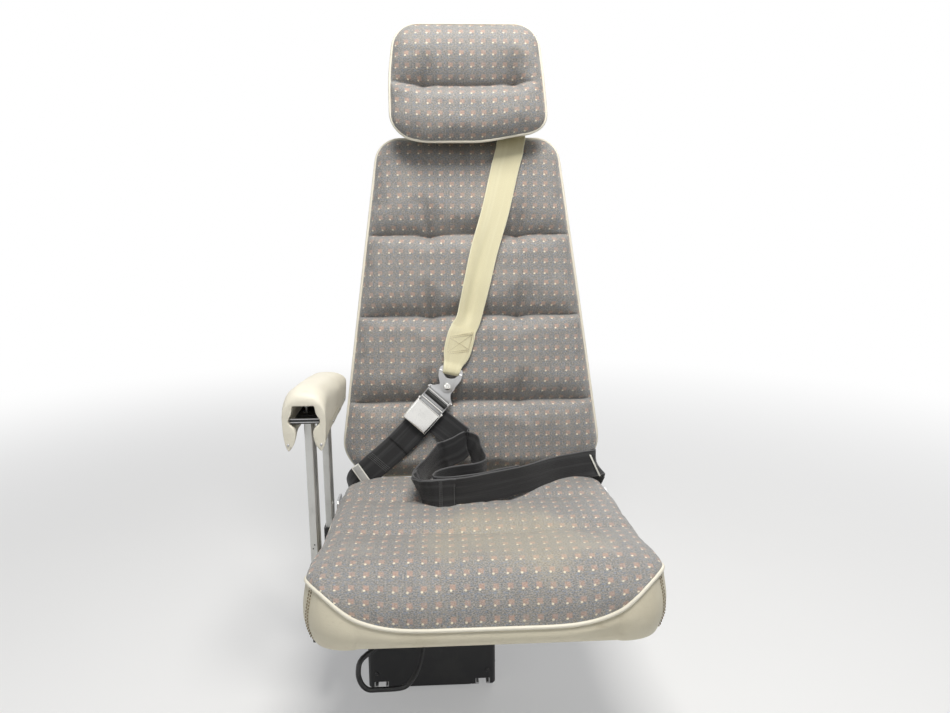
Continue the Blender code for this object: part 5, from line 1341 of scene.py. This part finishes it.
def strip(name, route, width, thick, material, profile=None, per_span=8, columns=12):
    """Webbing along a route of centres and width directions, with rounded edges and its own weave map.

    profile(share, u) lifts the webbing off its own plane at a share of the length and a place across.
    """
    centres = smooth_path([entry[0] for entry in route], per_span)
    across = smooth_path([entry[1] for entry in route], per_span)
    widths = [entry[2] if len(entry) > 2 else width for entry in route]
    spread = [p.x for p in smooth_path([Vector((w, 0, 0)) for w in widths], per_span)]
    length = [0.0]
    for a, b in zip(centres, centres[1:]):
        length.append(length[-1] + (b - a).length)
    bm = bmesh.new()
    uv = bm.loops.layers.uv.new("weave")
    shares = [math.sin(math.pi / 2 * (2 * k / columns - 1)) for k in range(columns + 1)]
    rings, coordinates = [], []
    for i, centre in enumerate(centres):
        ahead = (centres[min(i + 1, len(centres) - 1)] - centres[max(i - 1, 0)]).normalized()
        side = (across[i] - ahead * across[i].dot(ahead)).normalized()
        face = ahead.cross(side).normalized()
        half = spread[i] / 2
        ring, marks = [], []
        for sign in (-1, 1):
            for share in shares if sign < 0 else reversed(shares):
                rounding = math.sqrt(max(0.0, 1 - max(0.0, (abs(share) - 0.93) / 0.07) ** 2))
                lift = profile(length[i] / length[-1], share) if profile else 0.0
                depth = sign * thick / 2 * max(rounding, 0.12)
                ring.append(bm.verts.new(centre + side * half * share + face * (depth + lift)))
                marks.append((width / 2 * share, length[i]))
        rings.append(ring)
        coordinates.append(marks)
    count = len(rings[0])
    for i in range(len(rings) - 1):
        for k in range(count):
            n = (k + 1) % count
            bounded = bm.faces.new((rings[i][k], rings[i][n], rings[i + 1][n], rings[i + 1][k]))
            for corner, (a, b) in zip(bounded.loops, ((i, k), (i, n), (i + 1, n), (i + 1, k))):
                corner[uv].uv = coordinates[a][b]
    bm.faces.new(list(reversed(rings[0])))
    bm.faces.new(rings[-1])
    return from_bmesh(name, bm, [material], 60.0), centres, length[-1]


def strap_route(sizes):
    lift = sizes.back_crown + sizes.web_thick / 2 + 0.0012
    rear = -0.0298 - sizes.web_thick / 2
    top = sizes.back_top + 0.0070
    flat = Vector((1, 0, 0))
    x = 0.0758

    def entry(px, up, out, direction=flat, width=sizes.web_width):
        return (back_point(px, up, out), direction, width)
    behind = ((0.008, 0.568, rear), (0.006, 0.610, rear), (0.005, top - 0.005, rear + 0.001))
    over = ((0.005, top, rear + 0.007), (0.003, top, -0.004), (0.002, top - 0.0005, 0.014))
    front = ((0.001, 0.6330, 0.0280), (0.0, 0.6255, 0.0376), (-0.003, 0.615, 0.0448),
             (-0.006, 0.600, lift + 0.0012))
    route = [entry(x + step, up, out) for step, up, out in behind + over + front]
    tilt = Vector((0.975, 0.0, -0.22))
    spans = ((0.570, 0.0480, 0.0010), (0.500, 0.0478, 0.0016), (0.434, 0.0474, 0.0030),
             (0.380, 0.0462, 0.0036), (0.340, 0.0440, 0.0014))
    for up, width, off in spans:
        shift = 0.24 * (sizes.back_top - up) + (0.004 if up < 0.45 else 0.0)
        route.append(entry(x - shift, up, lift + off, tilt, width))
    route += [entry(-0.0055, 0.312, lift + 0.0006, tilt, 0.0430)]
    route += [entry(-0.0155, 0.294, lift + 0.0010, tilt, 0.0455)]
    return route, lift, tilt


STRAP_END = ((-0.0125, 0.2990, 0.0020, 0.0440), (-0.0165, 0.2890, 0.0034, 0.0478),
             (-0.0205, 0.2750, 0.0036, 0.0486), (-0.0245, 0.2600, 0.0036, 0.0476),
             (-0.0285, 0.2480, 0.0042, 0.0425), (-0.0318, 0.2390, 0.0052, 0.0345),
             (-0.0345, 0.2300, 0.0088, 0.0310), (-0.0362, 0.2235, 0.0094, 0.0290),
             (-0.0372, 0.2198, 0.0066, 0.0285), (-0.0364, 0.2225, 0.0036, 0.0290),
             (-0.0345, 0.2300, 0.0022, 0.0310), (-0.0318, 0.2390, 0.0004, 0.0345),
             (-0.0265, 0.2560, 0.0004, 0.0460))


def build_shoulder_strap(sizes):
    """Shoulder webbing from behind the back, over its top and down to its sewn end on the fitting."""
    route, lift, tilt = strap_route(sizes)

    def fold(share, u):
        rise = ease((share - 0.55) / 0.25) * ease((1.0 - share) / 0.08)
        ridge = 0.0062 * rise * math.exp(-((u + 0.10) / 0.34) ** 2)
        return -ridge - 0.0012 * rise * (1 - u * u) + 0.0007 * (u * u)
    main, _, length = strip("shoulder_strap_web", route, sizes.web_width, sizes.web_thick, "strap", fold,
                            columns=16)
    dress(main, "backrest", "shoulder_strap")

    end_route = [(back_point(x, up, lift + off), tilt, width) for x, up, off, width in STRAP_END]
    end, _, end_length = strip("shoulder_strap_end", end_route, sizes.web_width, 0.0021, "strap", per_span=5)
    dress(end, "backrest")

    rows = []
    top_left, top_right = Vector((-0.0385, 0.2850)), Vector((0.0058, 0.2925))
    low_left, low_right = Vector((-0.0465, 0.2540)), Vector((-0.0035, 0.2600))
    height = lift + 0.0049

    def patch(a, b):
        start = top_left.lerp(top_right, a).lerp(low_left.lerp(low_right, a), b)
        return back_point(start.x, start.y, height)
    for b in (0.0, 0.10, 0.90, 1.0):
        rows.append([patch(0.06 + 0.88 * k / 16, b) for k in range(17)])
    for a in (0.06, 0.94):
        rows.append([patch(a, k / 12) for k in range(13)])
    rows.append([patch(0.06 + 0.88 * k / 16, 0.1 + 0.8 * k / 16) for k in range(17)])
    rows.append([patch(0.94 - 0.88 * k / 16, 0.1 + 0.8 * k / 16) for k in range(17)])
    stitches("shoulder_strap_stitches", rows, 0.0030, 0.0022, "cream thread", "backrest")


def on_edge(x, y, lift=0.0):
    """A point of the belt where it stands on its edge on the cushion."""
    crown = 0.3080 - 0.012 * min(max(y + 0.357 - 0.07, 0.0) / 0.33, 1.0)
    slant = 0.38 * ease((-0.045 - x) / 0.045) * ease((-0.02 - y) / 0.05)
    upright = math.sqrt(1 - slant * slant)
    place = seat_point(x + 0.022 * slant, y, crown + SHEET_GAP + 0.024 * upright + lift)
    return (place, Vector((-slant, 0, upright)))


def on_back(x, up, out, slant=0.0, width=0.048):
    """A point of a belt that lies on the back, with its width slanted from upright by a share."""
    direction = BACK_UP * math.sqrt(1 - slant * slant) + Vector((slant, 0, 0))
    return (back_point(x, up, out), direction, width)


LAP_BACK = ((-0.0815, 0.1525, 0.0482, 0.50), (-0.0660, 0.1415, 0.0486, 0.50),
            (-0.0510, 0.1305, 0.0500, 0.42), (-0.0372, 0.1190, 0.0512, 0.28),
            (-0.0250, 0.1095, 0.0526, 0.12), (-0.0165, 0.1035, 0.0545, 0.05, 0.046),
            (-0.0122, 0.1012, 0.0590, 0.0, 0.044), (-0.0160, 0.0985, 0.0640, 0.0, 0.045))
LAP_LONG = ((-0.060, 0.020, 0.014), (-0.080, -0.018, 0.004), (-0.098, -0.066), (-0.098, -0.098),
            (-0.086, -0.117), (-0.066, -0.124), (-0.012, -0.114), (0.072, -0.068), (0.135, -0.020),
            (0.180, 0.004), (0.208, 0.014))
LAP_TAIL_BACK = ((-0.0320, 0.0990, 0.0476), (-0.0140, 0.0955, 0.0480), (0.0000, 0.0900, 0.0500))
LAP_TAIL = ((0.010, 0.028, 0.0100), (0.018, 0.010, 0.004), (0.018, -0.022), (0.004, -0.046),
            (-0.030, -0.058), (-0.060, -0.080), (-0.069, -0.100), (-0.058, -0.1125), (-0.012, -0.106),
            (0.068, -0.062))
LAP_OUTER = ((-0.0945, -0.0650), (-0.1008, -0.0900), (-0.0990, -0.1080), (-0.0865, -0.1200),
             (-0.0655, -0.1268), (-0.0340, -0.1232))


def across_stitches(name, centre, ahead, side, face, rows, width, material, body):
    """Rows of stitches across a belt."""
    paths = []
    for offset in rows:
        start = centre + ahead * offset + face
        paths.append([start + side * width * (k / 10 - 0.5) for k in range(11)])
    stitches(name, paths, 0.0030, 0.0024, material, body)


def build_lap_belts(sizes):
    """Black lap webbing: the short half on the left, and the long half standing in folds."""
    def cup(share, u):
        return 0.0009 * math.sin(share * 40.0) * u + 0.0006 * (u * u)
    route = [on_back(*place) for place in LAP_BACK]
    route += [(seat_point(-0.0280, 0.0270, 0.3470), Vector((0, 0.05, 1)))]
    route += [(seat_point(-0.0440, 0.0230, 0.3415), Vector((0, 0, 1)))]
    route += [on_edge(*place) for place in LAP_LONG]
    route += [(seat_point(0.2150, 0.0290, 0.3170), Vector((-0.40, 0.05, 0.91)))]
    route += [(seat_point(0.2150, 0.0440, 0.2990), Vector((-0.40, -0.02, 0.91)), 0.046)]
    route += [(seat_point(0.2120, 0.0540, 0.2760), Vector((-0.38, -0.12, 0.91)), 0.040)]
    web = (sizes.web_width, sizes.web_thick, "belt")
    long_half, _, length = strip("lap_belt_long", route, *web, cup, 9)
    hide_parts("lap_belt_right")
    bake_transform(long_half)

    route = [on_back(*place) for place in LAP_TAIL_BACK] + [on_edge(*place) for place in LAP_TAIL]
    tail, _, tail_length = strip("lap_belt_fold", route, *web, cup, 9)
    dress(tail, "seat_base", "lap_belt_tail")

    outer = [on_edge(*place) for place in LAP_OUTER]
    layer, places, layer_length = strip("lap_belt_layer", outer, sizes.web_width * 0.985,
                                        sizes.web_thick, "belt", cup, 9)
    dress(layer, "seat_base")
    ahead = (places[-1] - places[-4]).normalized()
    face = Vector((ahead.y, -ahead.x, 0)) * (sizes.web_thick / 2 + 0.0002)
    across_stitches("lap_belt_layer_stitches", places[-1], ahead, Vector((0, 0, 1)), face,
                    (-0.0030, -0.0220, -0.0240, -0.0260), 0.040, "grey thread", "seat_base")

    lift = 0.0480
    wide = Vector((0.747, -0.0925, -0.658))
    down = ((-0.0915, 0.1360, 0.0022), (-0.1000, 0.1275, 0.0008), (-0.1286, 0.0989, 0.0),
            (-0.1516, 0.0784, 0.0), (-0.1707, 0.0629, 0.0), (-0.1868, 0.0492, -0.0010))
    route = [(back_point(x, up, lift + off), wide) for x, up, off in down]
    route += [(seat_point(-0.2005, 0.0440, 0.2910), Vector((0.50, -0.20, -0.84)))]
    route += [(seat_point(-0.2110, 0.0490, 0.2770), Vector((0.40, -0.55, -0.73)))]
    route += [(seat_point(-0.2160, 0.0530, 0.2590), Vector((0.20, -0.85, -0.48)))]
    short, _, length = strip("lap_belt_short", route, 0.046, sizes.web_thick, "belt", None, 9)
    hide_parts("lap_belt_left")
    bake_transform(short)

    above = lift + sizes.web_thick + 0.0003
    ply = ((-0.0915, 0.1360, 0.0010), (-0.1050, 0.1225, 0.0), (-0.1265, 0.1010, 0.0),
           (-0.1300, 0.0975, -0.0005))
    double = [(back_point(x, up, above + off), wide) for x, up, off in ply]
    upper, _, double_length = strip("lap_belt_double", double, 0.0458, sizes.web_thick, "belt", None, 6)
    dress(upper, "backrest")

    along = (back_point(-0.1707, 0.0629, lift) - back_point(-0.1286, 0.0989, lift)).normalized()
    across_stitches("lap_belt_stitches", back_point(-0.1640, 0.0680, lift), along, wide, BACK_OUT * 0.0013,
                    (-0.004, -0.001, 0.002, 0.005), 0.038, "grey thread", "backrest")
    middle = back_point(-0.1944, 0.0453, lift + 0.0006)
    lean = Vector((0.56, -0.12, -0.82))
    ahead = BACK_OUT.cross(lean).normalized()

    def on_tag(x, y, z):
        return middle + lean * x + ahead * y + BACK_OUT * z
    tag = box_piece("lap_belt_tag_rim", on_tag, (-0.0215, -0.0075, 0.0013), (0.0215, 0.0075, 0.0020), "tag",
                    0.0003)
    blank = box_piece("lap_belt_tag_field", on_tag, (-0.0195, -0.0055, 0.0016), (0.0195, 0.0055, 0.0022),
                      "tag field", 0.0002)
    tag = join("lap_belt_tag", [tag, blank])
    dress(tag, "backrest")

    corner = seat_point(0.2085, 0.0112, 0.3185)

    def on_run(x, y, z):
        return (corner + Vector((0.94, 0.34, 0)) * x + Vector((-0.42, 0, 0.91)) * z
                + Vector((0.34, -0.94, 0)) * y)
    label = box_piece("lap_belt_label", on_run, (-0.0016, 0.0013, -0.0215), (0.0016, 0.0019, 0.0215), "tag",
                      0.0002)
    dress(label, "seat_base")


def build_buckle(sizes):
    """Lift-lever buckle: open body with two cheeks, a dark roller, the lever, the tongue and its stud."""
    floor = box_piece("buckle_floor", buckle_point, (-0.0225, -0.0190, 0.0003), (0.0225, 0.0460, 0.0022),
                      "steel")
    cheeks = []
    for side in (-1, 1):
        outline = [(-0.0190, 0.0004), (0.0440, 0.0004), (0.0470, 0.0026), (0.0476, 0.0062), (0.0452, 0.0088)]
        outline += [(0.0415, 0.0092), (0.0385, 0.0076), (0.0300, 0.0072), (0.0270, 0.0084), (0.0235, 0.0084)]
        outline += [(0.0200, 0.0070), (-0.0175, 0.0070), (-0.0190, 0.0056)]

        def cheek(y, z, x, side=side):
            return buckle_point(side * x, y, z)
        cheeks.append(plate("buckle_cheek", cheek, outline, 0.0222, 0.0240, "steel", 0.0004))
    across = (-0.0225, -0.0120, 0.0, 0.0120, 0.0225)

    def bar(name, y, z, radius, material, sides=4):
        return tube(name, [buckle_point(x, y, z) for x in across], radius, material, sides=sides)
    roller = bar("buckle_roller", 0.0372, 0.0056, 0.0042, "rubber", 6)
    rod = bar("buckle_rod", 0.0272, 0.0074, 0.0021, "chrome", 5)
    rim = bar("buckle_rim", 0.0440, 0.0068, 0.0012, "chrome")
    body = join("buckle_body_detail", [floor, *cheeks, roller, rod, rim])
    dress(body, "backrest", "buckle_body")

    half, top, low, round_edge = 0.0250, 0.0185, -0.0222, 0.0024
    rows, columns = 30, 28
    bm = bmesh.new()
    grid = []
    for j in range(rows + 1):
        line = []
        for i in range(columns + 1):
            x = half * math.sin(math.pi / 2 * (2 * i / columns - 1))
            y = (top + low) / 2 + (top - low) / 2 * math.sin(math.pi / 2 * (1 - 2 * j / rows))
            edge = min(half - abs(x), top - y, y - low)
            z = 0.0102 + 0.0016 * (1 - (x / half) ** 2) * (1 - abs((y + 0.002) / 0.0225) ** 3)
            z -= 0.0022 * (1 - roll(edge, round_edge))
            line.append(bm.verts.new((x, y, z)))
        grid.append(line)
    for a, b in zip(grid, grid[1:]):
        for i in range(columns):
            bm.faces.new((a[i], b[i], b[i + 1], a[i + 1]))
    for vertex in bm.verts:
        vertex.co = buckle_point(*vertex.co)
    cover = from_bmesh("buckle_cover_sheet", bm, ["chrome"], 60.0)
    wall = cover.modifiers.new("wall", "SOLIDIFY")
    wall.thickness = 0.0014
    wall.offset = -1
    bake(cover)
    flanges = []
    for side in (-1, 1):
        low_x, high_x = (0.0242, 0.0254) if side > 0 else (-0.0254, -0.0242)
        flanges.append(box_piece("lever_flange", buckle_point, (low_x, -0.0205, 0.0050),
                                 (high_x, 0.0235, 0.0092), "chrome"))
        ear = [buckle_point(side * x, 0.0225, 0.0064) for x in (0.0236, 0.0252, 0.0266)]
        flanges.append(tube("lever_pivot", ear, 0.0024, "chrome", sides=5))
    lip = bar("lever_lip", 0.0190, 0.0092, 0.0011, "chrome")
    lever = join("buckle_lever_detail", [cover, *flanges, lip])
    dress(lever, "buckle_cover", "buckle_lever")

    right = [(0.0256, 0.0462), (0.0268, 0.0478), (0.0256, 0.0502), (0.0215, 0.0522), (0.0172, 0.0548)]
    right += [(0.0145, 0.0578), (0.0132, 0.0612)]
    outline = right + arc((0, 0.0675), 0.0136, -22, 202, 18) + [(-x, y) for x, y in reversed(right)]
    tongue = plate("tongue_plate", buckle_point, outline, 0.0012, 0.0034, "steel", 0.0006)
    ears = []
    for side in (-1, 1):
        bead = [buckle_point(side * x, 0.0478, 0.0042) for x in (0.0238, 0.0252, 0.0268)]
        ears.append(tube("tongue_ear", bead, 0.0022, "chrome", sides=5))

    def ring(radius, z, sides=32):
        turns = [2 * math.pi * k / sides for k in range(sides)]
        return [buckle_point(radius * math.cos(t), 0.067 + radius * math.sin(t), z) for t in turns]
    stud_rings = ((0.0048, 0.0032), (0.0046, 0.0078), (0.0056, 0.0081), (0.0061, 0.0092), (0.0057, 0.0104))
    stud_rings += ((0.0042, 0.0111), (0.0026, 0.0113), (0.0022, 0.0108), (0.0008, 0.0107))
    stud = skin("tongue_stud", [ring(r, z) for r, z in stud_rings], ["chrome"], sharp=35.0)
    piece = join("buckle_tongue_detail", [tongue, *ears, stud])
    dress(piece, "backrest", "buckle_tongue")
    build_fitting()


def build_fitting():
    """Flat ring on the stud: two rounded arms that spread to the bar in the strap's end loop."""
    stud_at = Vector((BUCKLE.x - math.sin(BUCKLE_TURN) * 0.067, BUCKLE.y + math.cos(BUCKLE_TURN) * 0.067))
    end = Vector((-0.0345, 0.2300))
    toward = (end - stud_at).normalized()
    across = Vector((toward.y, -toward.x))

    def fitting(x, y, z):
        p = stud_at + toward * y + across * x
        return back_point(p.x, p.y, BUCKLE.z + 0.0042 + z)
    outer = [(0.0150, 0.0050), (0.0178, 0.0105), (0.0198, 0.0160), (0.0210, 0.0215), (0.0212, 0.0268)]
    outer += [(0.0200, 0.0312), (0.0176, 0.0338), (0.0152, 0.0330), (0.0146, 0.0300), (0.0146, 0.0262)]
    outer += [(0.0130, 0.0212), (0.0094, 0.0164), (0.0050, 0.0136)]
    outline = arc((0, 0), 0.0118, 205, 335, 12) + outer + [(0.0, 0.0130)]
    outline += [(-x, y) for x, y in reversed(outer)]
    loop = plate("strap_fitting_plate", fitting, outline, 0.0, 0.0024, "steel", 0.0007)
    along = [fitting(x, 0.0245, 0.0012) for x in (-0.0200, -0.008, 0.008, 0.0200)]
    pin = tube("strap_fitting_pin", along, 0.0017, "steel")
    loop = join("strap_loop", [loop, pin])
    dress(loop, "backrest", "strap_fitting")


SLOT_OF = {"fabric_grey": "back cloth", "vinyl_cream": "vinyl", "aluminium": "aluminium", "steel": "steel",
           "chrome": "chrome", "black_paint": "paint", "webbing_black": "belt", "webbing_cream": "strap"}


def build_hardware(sizes):
    """Finishes for the CAD's own metal parts, and the screws and rivets that hold them."""
    for name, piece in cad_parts.items():
        slot = piece.data.materials[0].name.split(".")[0]
        piece.data.materials.clear()
        dark = name == "armrest_tie_plate" or name.startswith("recline_pivot")
        piece.data.materials.append(PALETTE["paint" if dark else SLOT_OF[slot]])
    screws = []
    for side in (-1, 1):
        for y in (-0.105, 0.0, 0.105):
            screws.append((Vector((side * 0.101, y, 0.0300)), Vector((side, 0, 0))))
        for y in (-0.114, -0.086, -0.002, 0.026):
            screws.append((Vector((side * 0.078, y, 0.1753)), Vector((0, 0, 1))))
    for x in (-0.088, 0.088):
        for z in (0.030, 0.150):
            screws.append((Vector((x, -0.130, z)), Vector((0, -1, 0))))
            screws.append((Vector((x, 0.130, z)), Vector((0, 1, 0))))
    fasteners("pedestal_screws", "screw", screws, 0.0034, "paint", "seat_base")
    rivets = []
    for y in (-0.290, -0.210, -0.060, 0.020):
        for side in (-1, 1):
            rivets.append((seat_point(side * 0.205, y, 0.2105), Vector((side, 0, 0))))
    for x in (-0.150, -0.050, 0.050, 0.150):
        rivets.append((seat_point(x, -0.315, 0.2105), Vector((0, -1, 0))))
    fasteners("pan_rivets", "rivet", rivets, 0.0026, "aluminium", "seat_base")
    # Painted shade: near-black discs stand for the shadow in the upright's holes.
    holes = []
    for x, z in ((0.0008, 0.268), (-0.0014, 0.262)):
        holes.append((Vector((ARM_X + x, -0.1649, z)), Vector((0, -1, 0))))
    fasteners("upright_holes", "rivet", holes, 0.0011, "hole", "armrest")


def build_stage(colours):
    """Pale floor that fades into the white background, three soft lamps and the camera."""
    floor = bpy.data.meshes.new("floor")
    floor.from_pydata([(-40, -40, 0), (40, -40, 0), (40, 40, 0), (-40, 40, 0)], [], [(0, 1, 2, 3)])
    ground = bpy.data.objects.new("floor", floor)
    bpy.context.collection.objects.link(ground)
    g = Graph("pale floor", roughness=0.8)
    g.shader.inputs["Specular IOR Level"].default_value = 0.2
    tone = g.noise(g.place(), 3.0, 3.0)
    dim = darker(colours.floor, 0.97)
    g.finish(g.mix(tone, colours.floor, dim))
    x, y, _ = g.split(g.place())
    away = g.length(x, y)
    share = g.plus(0.30, g.times(g.step(away, 0.7, 2.8), 0.70))
    path = g.add("ShaderNodeLightPath")
    seen = g.maths("MAXIMUM", path.outputs["Is Camera Ray"], path.outputs["Is Glossy Ray"])
    seen = g.maths("MAXIMUM", seen, path.outputs["Is Transmission Ray"])
    glow = g.add("ShaderNodeEmission")
    glow.inputs["Strength"].default_value = 1.0
    blend = g.add("ShaderNodeMixShader")
    g.put(blend.inputs[0], g.times(share, seen))
    g.put(blend.inputs[1], g.shader.outputs[0])
    g.put(blend.inputs[2], glow.outputs[0])
    g.put(g.tree.nodes["Material Output"].inputs["Surface"], blend.outputs[0])
    floor.materials.append(g.material)

    world = bpy.data.worlds.new("studio")
    bpy.context.scene.world = world
    world.use_nodes = True
    tree = world.node_tree
    back = tree.nodes["Background"]
    back.inputs["Color"].default_value = (0.90, 0.93, 1.0, 1.0)
    back.inputs["Strength"].default_value = 0.24
    white = tree.nodes.new("ShaderNodeBackground")
    white.inputs["Color"].default_value = (1.0, 1.0, 1.0, 1.0)
    white.inputs["Strength"].default_value = 1.0
    path = tree.nodes.new("ShaderNodeLightPath")
    mixer = tree.nodes.new("ShaderNodeMixShader")
    seen = tree.nodes.new("ShaderNodeMath")
    seen.operation = "MAXIMUM"
    tree.links.new(path.outputs["Is Camera Ray"], seen.inputs[0])
    tree.links.new(path.outputs["Is Glossy Ray"], seen.inputs[1])
    clear = tree.nodes.new("ShaderNodeMath")
    clear.operation = "MAXIMUM"
    tree.links.new(seen.outputs[0], clear.inputs[0])
    tree.links.new(path.outputs["Is Transmission Ray"], clear.inputs[1])
    tree.links.new(clear.outputs[0], mixer.inputs[0])
    tree.links.new(back.outputs[0], mixer.inputs[1])
    tree.links.new(white.outputs[0], mixer.inputs[2])
    tree.links.new(mixer.outputs[0], tree.nodes["World Output"].inputs["Surface"])

    def lamp(name, place, target, size, power, tint):
        data = bpy.data.lights.new(name, "AREA")
        data.shape = "RECTANGLE"
        data.size, data.size_y = size
        data.energy = power
        data.color = tint
        piece = bpy.data.objects.new(name, data)
        bpy.context.collection.objects.link(piece)
        piece.location = place
        piece.rotation_mode = "QUATERNION"
        piece.rotation_quaternion = (Vector(target) - Vector(place)).to_track_quat("-Z", "Y")
    lamp("overhead", (0.22, -0.80, 2.3), (0.07, -0.02, 0.5), (1.0, 0.7), 47.0, (1.0, 0.98, 0.95))
    lamp("front", (-1.5, -2.2, 1.2), (0.05, 0.0, 0.5), (1.2, 1.2), 4.0, (0.97, 0.98, 1.0))
    lamp("rear", (1.2, 2.0, 1.6), (0.07, 0.1, 0.6), (1.2, 1.2), 12.0, (1.0, 1.0, 1.0))

    yaw, pitch, turn = math.radians(2.79), math.radians(10.77), math.radians(-0.46)
    forward = Vector((math.sin(yaw) * math.cos(pitch), math.cos(yaw) * math.cos(pitch), -math.sin(pitch)))
    level = Vector((math.cos(yaw), -math.sin(yaw), 0.0))
    down = forward.cross(level)
    right = level * math.cos(turn) - down * math.sin(turn)
    lower = level * math.sin(turn) + down * math.cos(turn)
    data = bpy.data.cameras.new("photo view")
    data.sensor_width = 36.0
    data.lens = 27.635
    data.clip_start = 0.05
    camera = bpy.data.objects.new("photo view", data)
    bpy.context.collection.objects.link(camera)
    axes = Matrix((right, -lower, -forward)).transposed().to_4x4()
    camera.matrix_world = Matrix.Translation((0.02124, -1.18007, 0.73995)) @ axes
    scene = bpy.context.scene
    scene.camera = camera
    scene.view_settings.view_transform = "Standard"


def sizes_of(context):
    return context.scene.seat_sizes


class SEAT_OT_palette(bpy.types.Operator):
    """Make the finishes: cloth, vinyl, webbing, metals, paint and thread"""
    bl_idname = "seat.palette"
    bl_label = "Finishes"

    def execute(self, context):
        build_palette(context.scene.seat_colours, sizes_of(context).dot_pitch)
        return {"FINISHED"}


class SEAT_OT_cushion(bpy.types.Operator):
    """Make the seat cushion with its boxing, piping and topstitching"""
    bl_idname = "seat.cushion"
    bl_label = "Seat Cushion"

    def execute(self, context):
        build_cushion(sizes_of(context))
        return {"FINISHED"}


class SEAT_OT_back(bpy.types.Operator):
    """Make the channelled back pad, its piping and the covered shell behind it"""
    bl_idname = "seat.back"
    bl_label = "Back"

    def execute(self, context):
        build_back(sizes_of(context))
        return {"FINISHED"}


class SEAT_OT_headrest(bpy.types.Operator):
    """Make the headrest's tufted pad, its piping and its backing"""
    bl_idname = "seat.headrest"
    bl_label = "Headrest"

    def execute(self, context):
        build_headrest(sizes_of(context))
        return {"FINISHED"}


class SEAT_OT_armrest(bpy.types.Operator):
    """Make the armrest's soft cover with its rivets and hem"""
    bl_idname = "seat.armrest"
    bl_label = "Armrest"

    def execute(self, context):
        build_armrest(sizes_of(context))
        return {"FINISHED"}


class SEAT_OT_buckle(bpy.types.Operator):
    """Make the lift-lever buckle, its tongue with the stud, and the strap's fitting"""
    bl_idname = "seat.buckle"
    bl_label = "Buckle"

    def execute(self, context):
        build_buckle(sizes_of(context))
        return {"FINISHED"}


class SEAT_OT_belts(bpy.types.Operator):
    """Make the shoulder strap and both halves of the lap belt"""
    bl_idname = "seat.belts"
    bl_label = "Belts"

    def execute(self, context):
        build_shoulder_strap(sizes_of(context))
        build_lap_belts(sizes_of(context))
        return {"FINISHED"}


class SEAT_OT_hardware(bpy.types.Operator):
    """Finish the metal parts and add screws and rivets"""
    bl_idname = "seat.hardware"
    bl_label = "Hardware"

    def execute(self, context):
        build_hardware(sizes_of(context))
        return {"FINISHED"}


class SEAT_OT_stage(bpy.types.Operator):
    """Make the floor, the soft light and the camera"""
    bl_idname = "seat.stage"
    bl_label = "Stage"

    def execute(self, context):
        build_stage(context.scene.seat_colours)
        return {"FINISHED"}


class SEAT_PT_panel(bpy.types.Panel):
    """Seat sizes, colours and the steps that build it"""
    bl_idname = "SEAT_PT_panel"
    bl_label = "Passenger Seat"
    bl_space_type = "VIEW_3D"
    bl_region_type = "UI"
    bl_category = "Seat"

    def draw(self, context):
        for group in (context.scene.seat_sizes, context.scene.seat_colours):
            column = self.layout.column(align=True)
            for name in group.__annotations__:
                column.prop(group, name)
        column = self.layout.column()
        for step in STEPS:
            column.operator(step.bl_idname)


STEPS = (SEAT_OT_palette, SEAT_OT_cushion, SEAT_OT_back, SEAT_OT_headrest, SEAT_OT_armrest, SEAT_OT_buckle,
         SEAT_OT_belts, SEAT_OT_hardware, SEAT_OT_stage)
CLASSES = (SeatSizes, SeatColours, *STEPS, SEAT_PT_panel)


def register():
    for item in CLASSES:
        bpy.utils.register_class(item)
    bpy.types.Scene.seat_sizes = bpy.props.PointerProperty(type=SeatSizes)
    bpy.types.Scene.seat_colours = bpy.props.PointerProperty(type=SeatColours)


def unregister():
    del bpy.types.Scene.seat_sizes
    del bpy.types.Scene.seat_colours
    for item in reversed(CLASSES):
        bpy.utils.unregister_class(item)


def main():
    register()
    bpy.ops.seat.palette()
    bpy.ops.seat.cushion()
    bpy.ops.seat.back()
    bpy.ops.seat.headrest()
    bpy.ops.seat.armrest()
    bpy.ops.seat.buckle()
    bpy.ops.seat.belts()
    bpy.ops.seat.hardware()
    bpy.ops.seat.stage()
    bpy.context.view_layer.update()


if __name__ == "__main__":
    main()
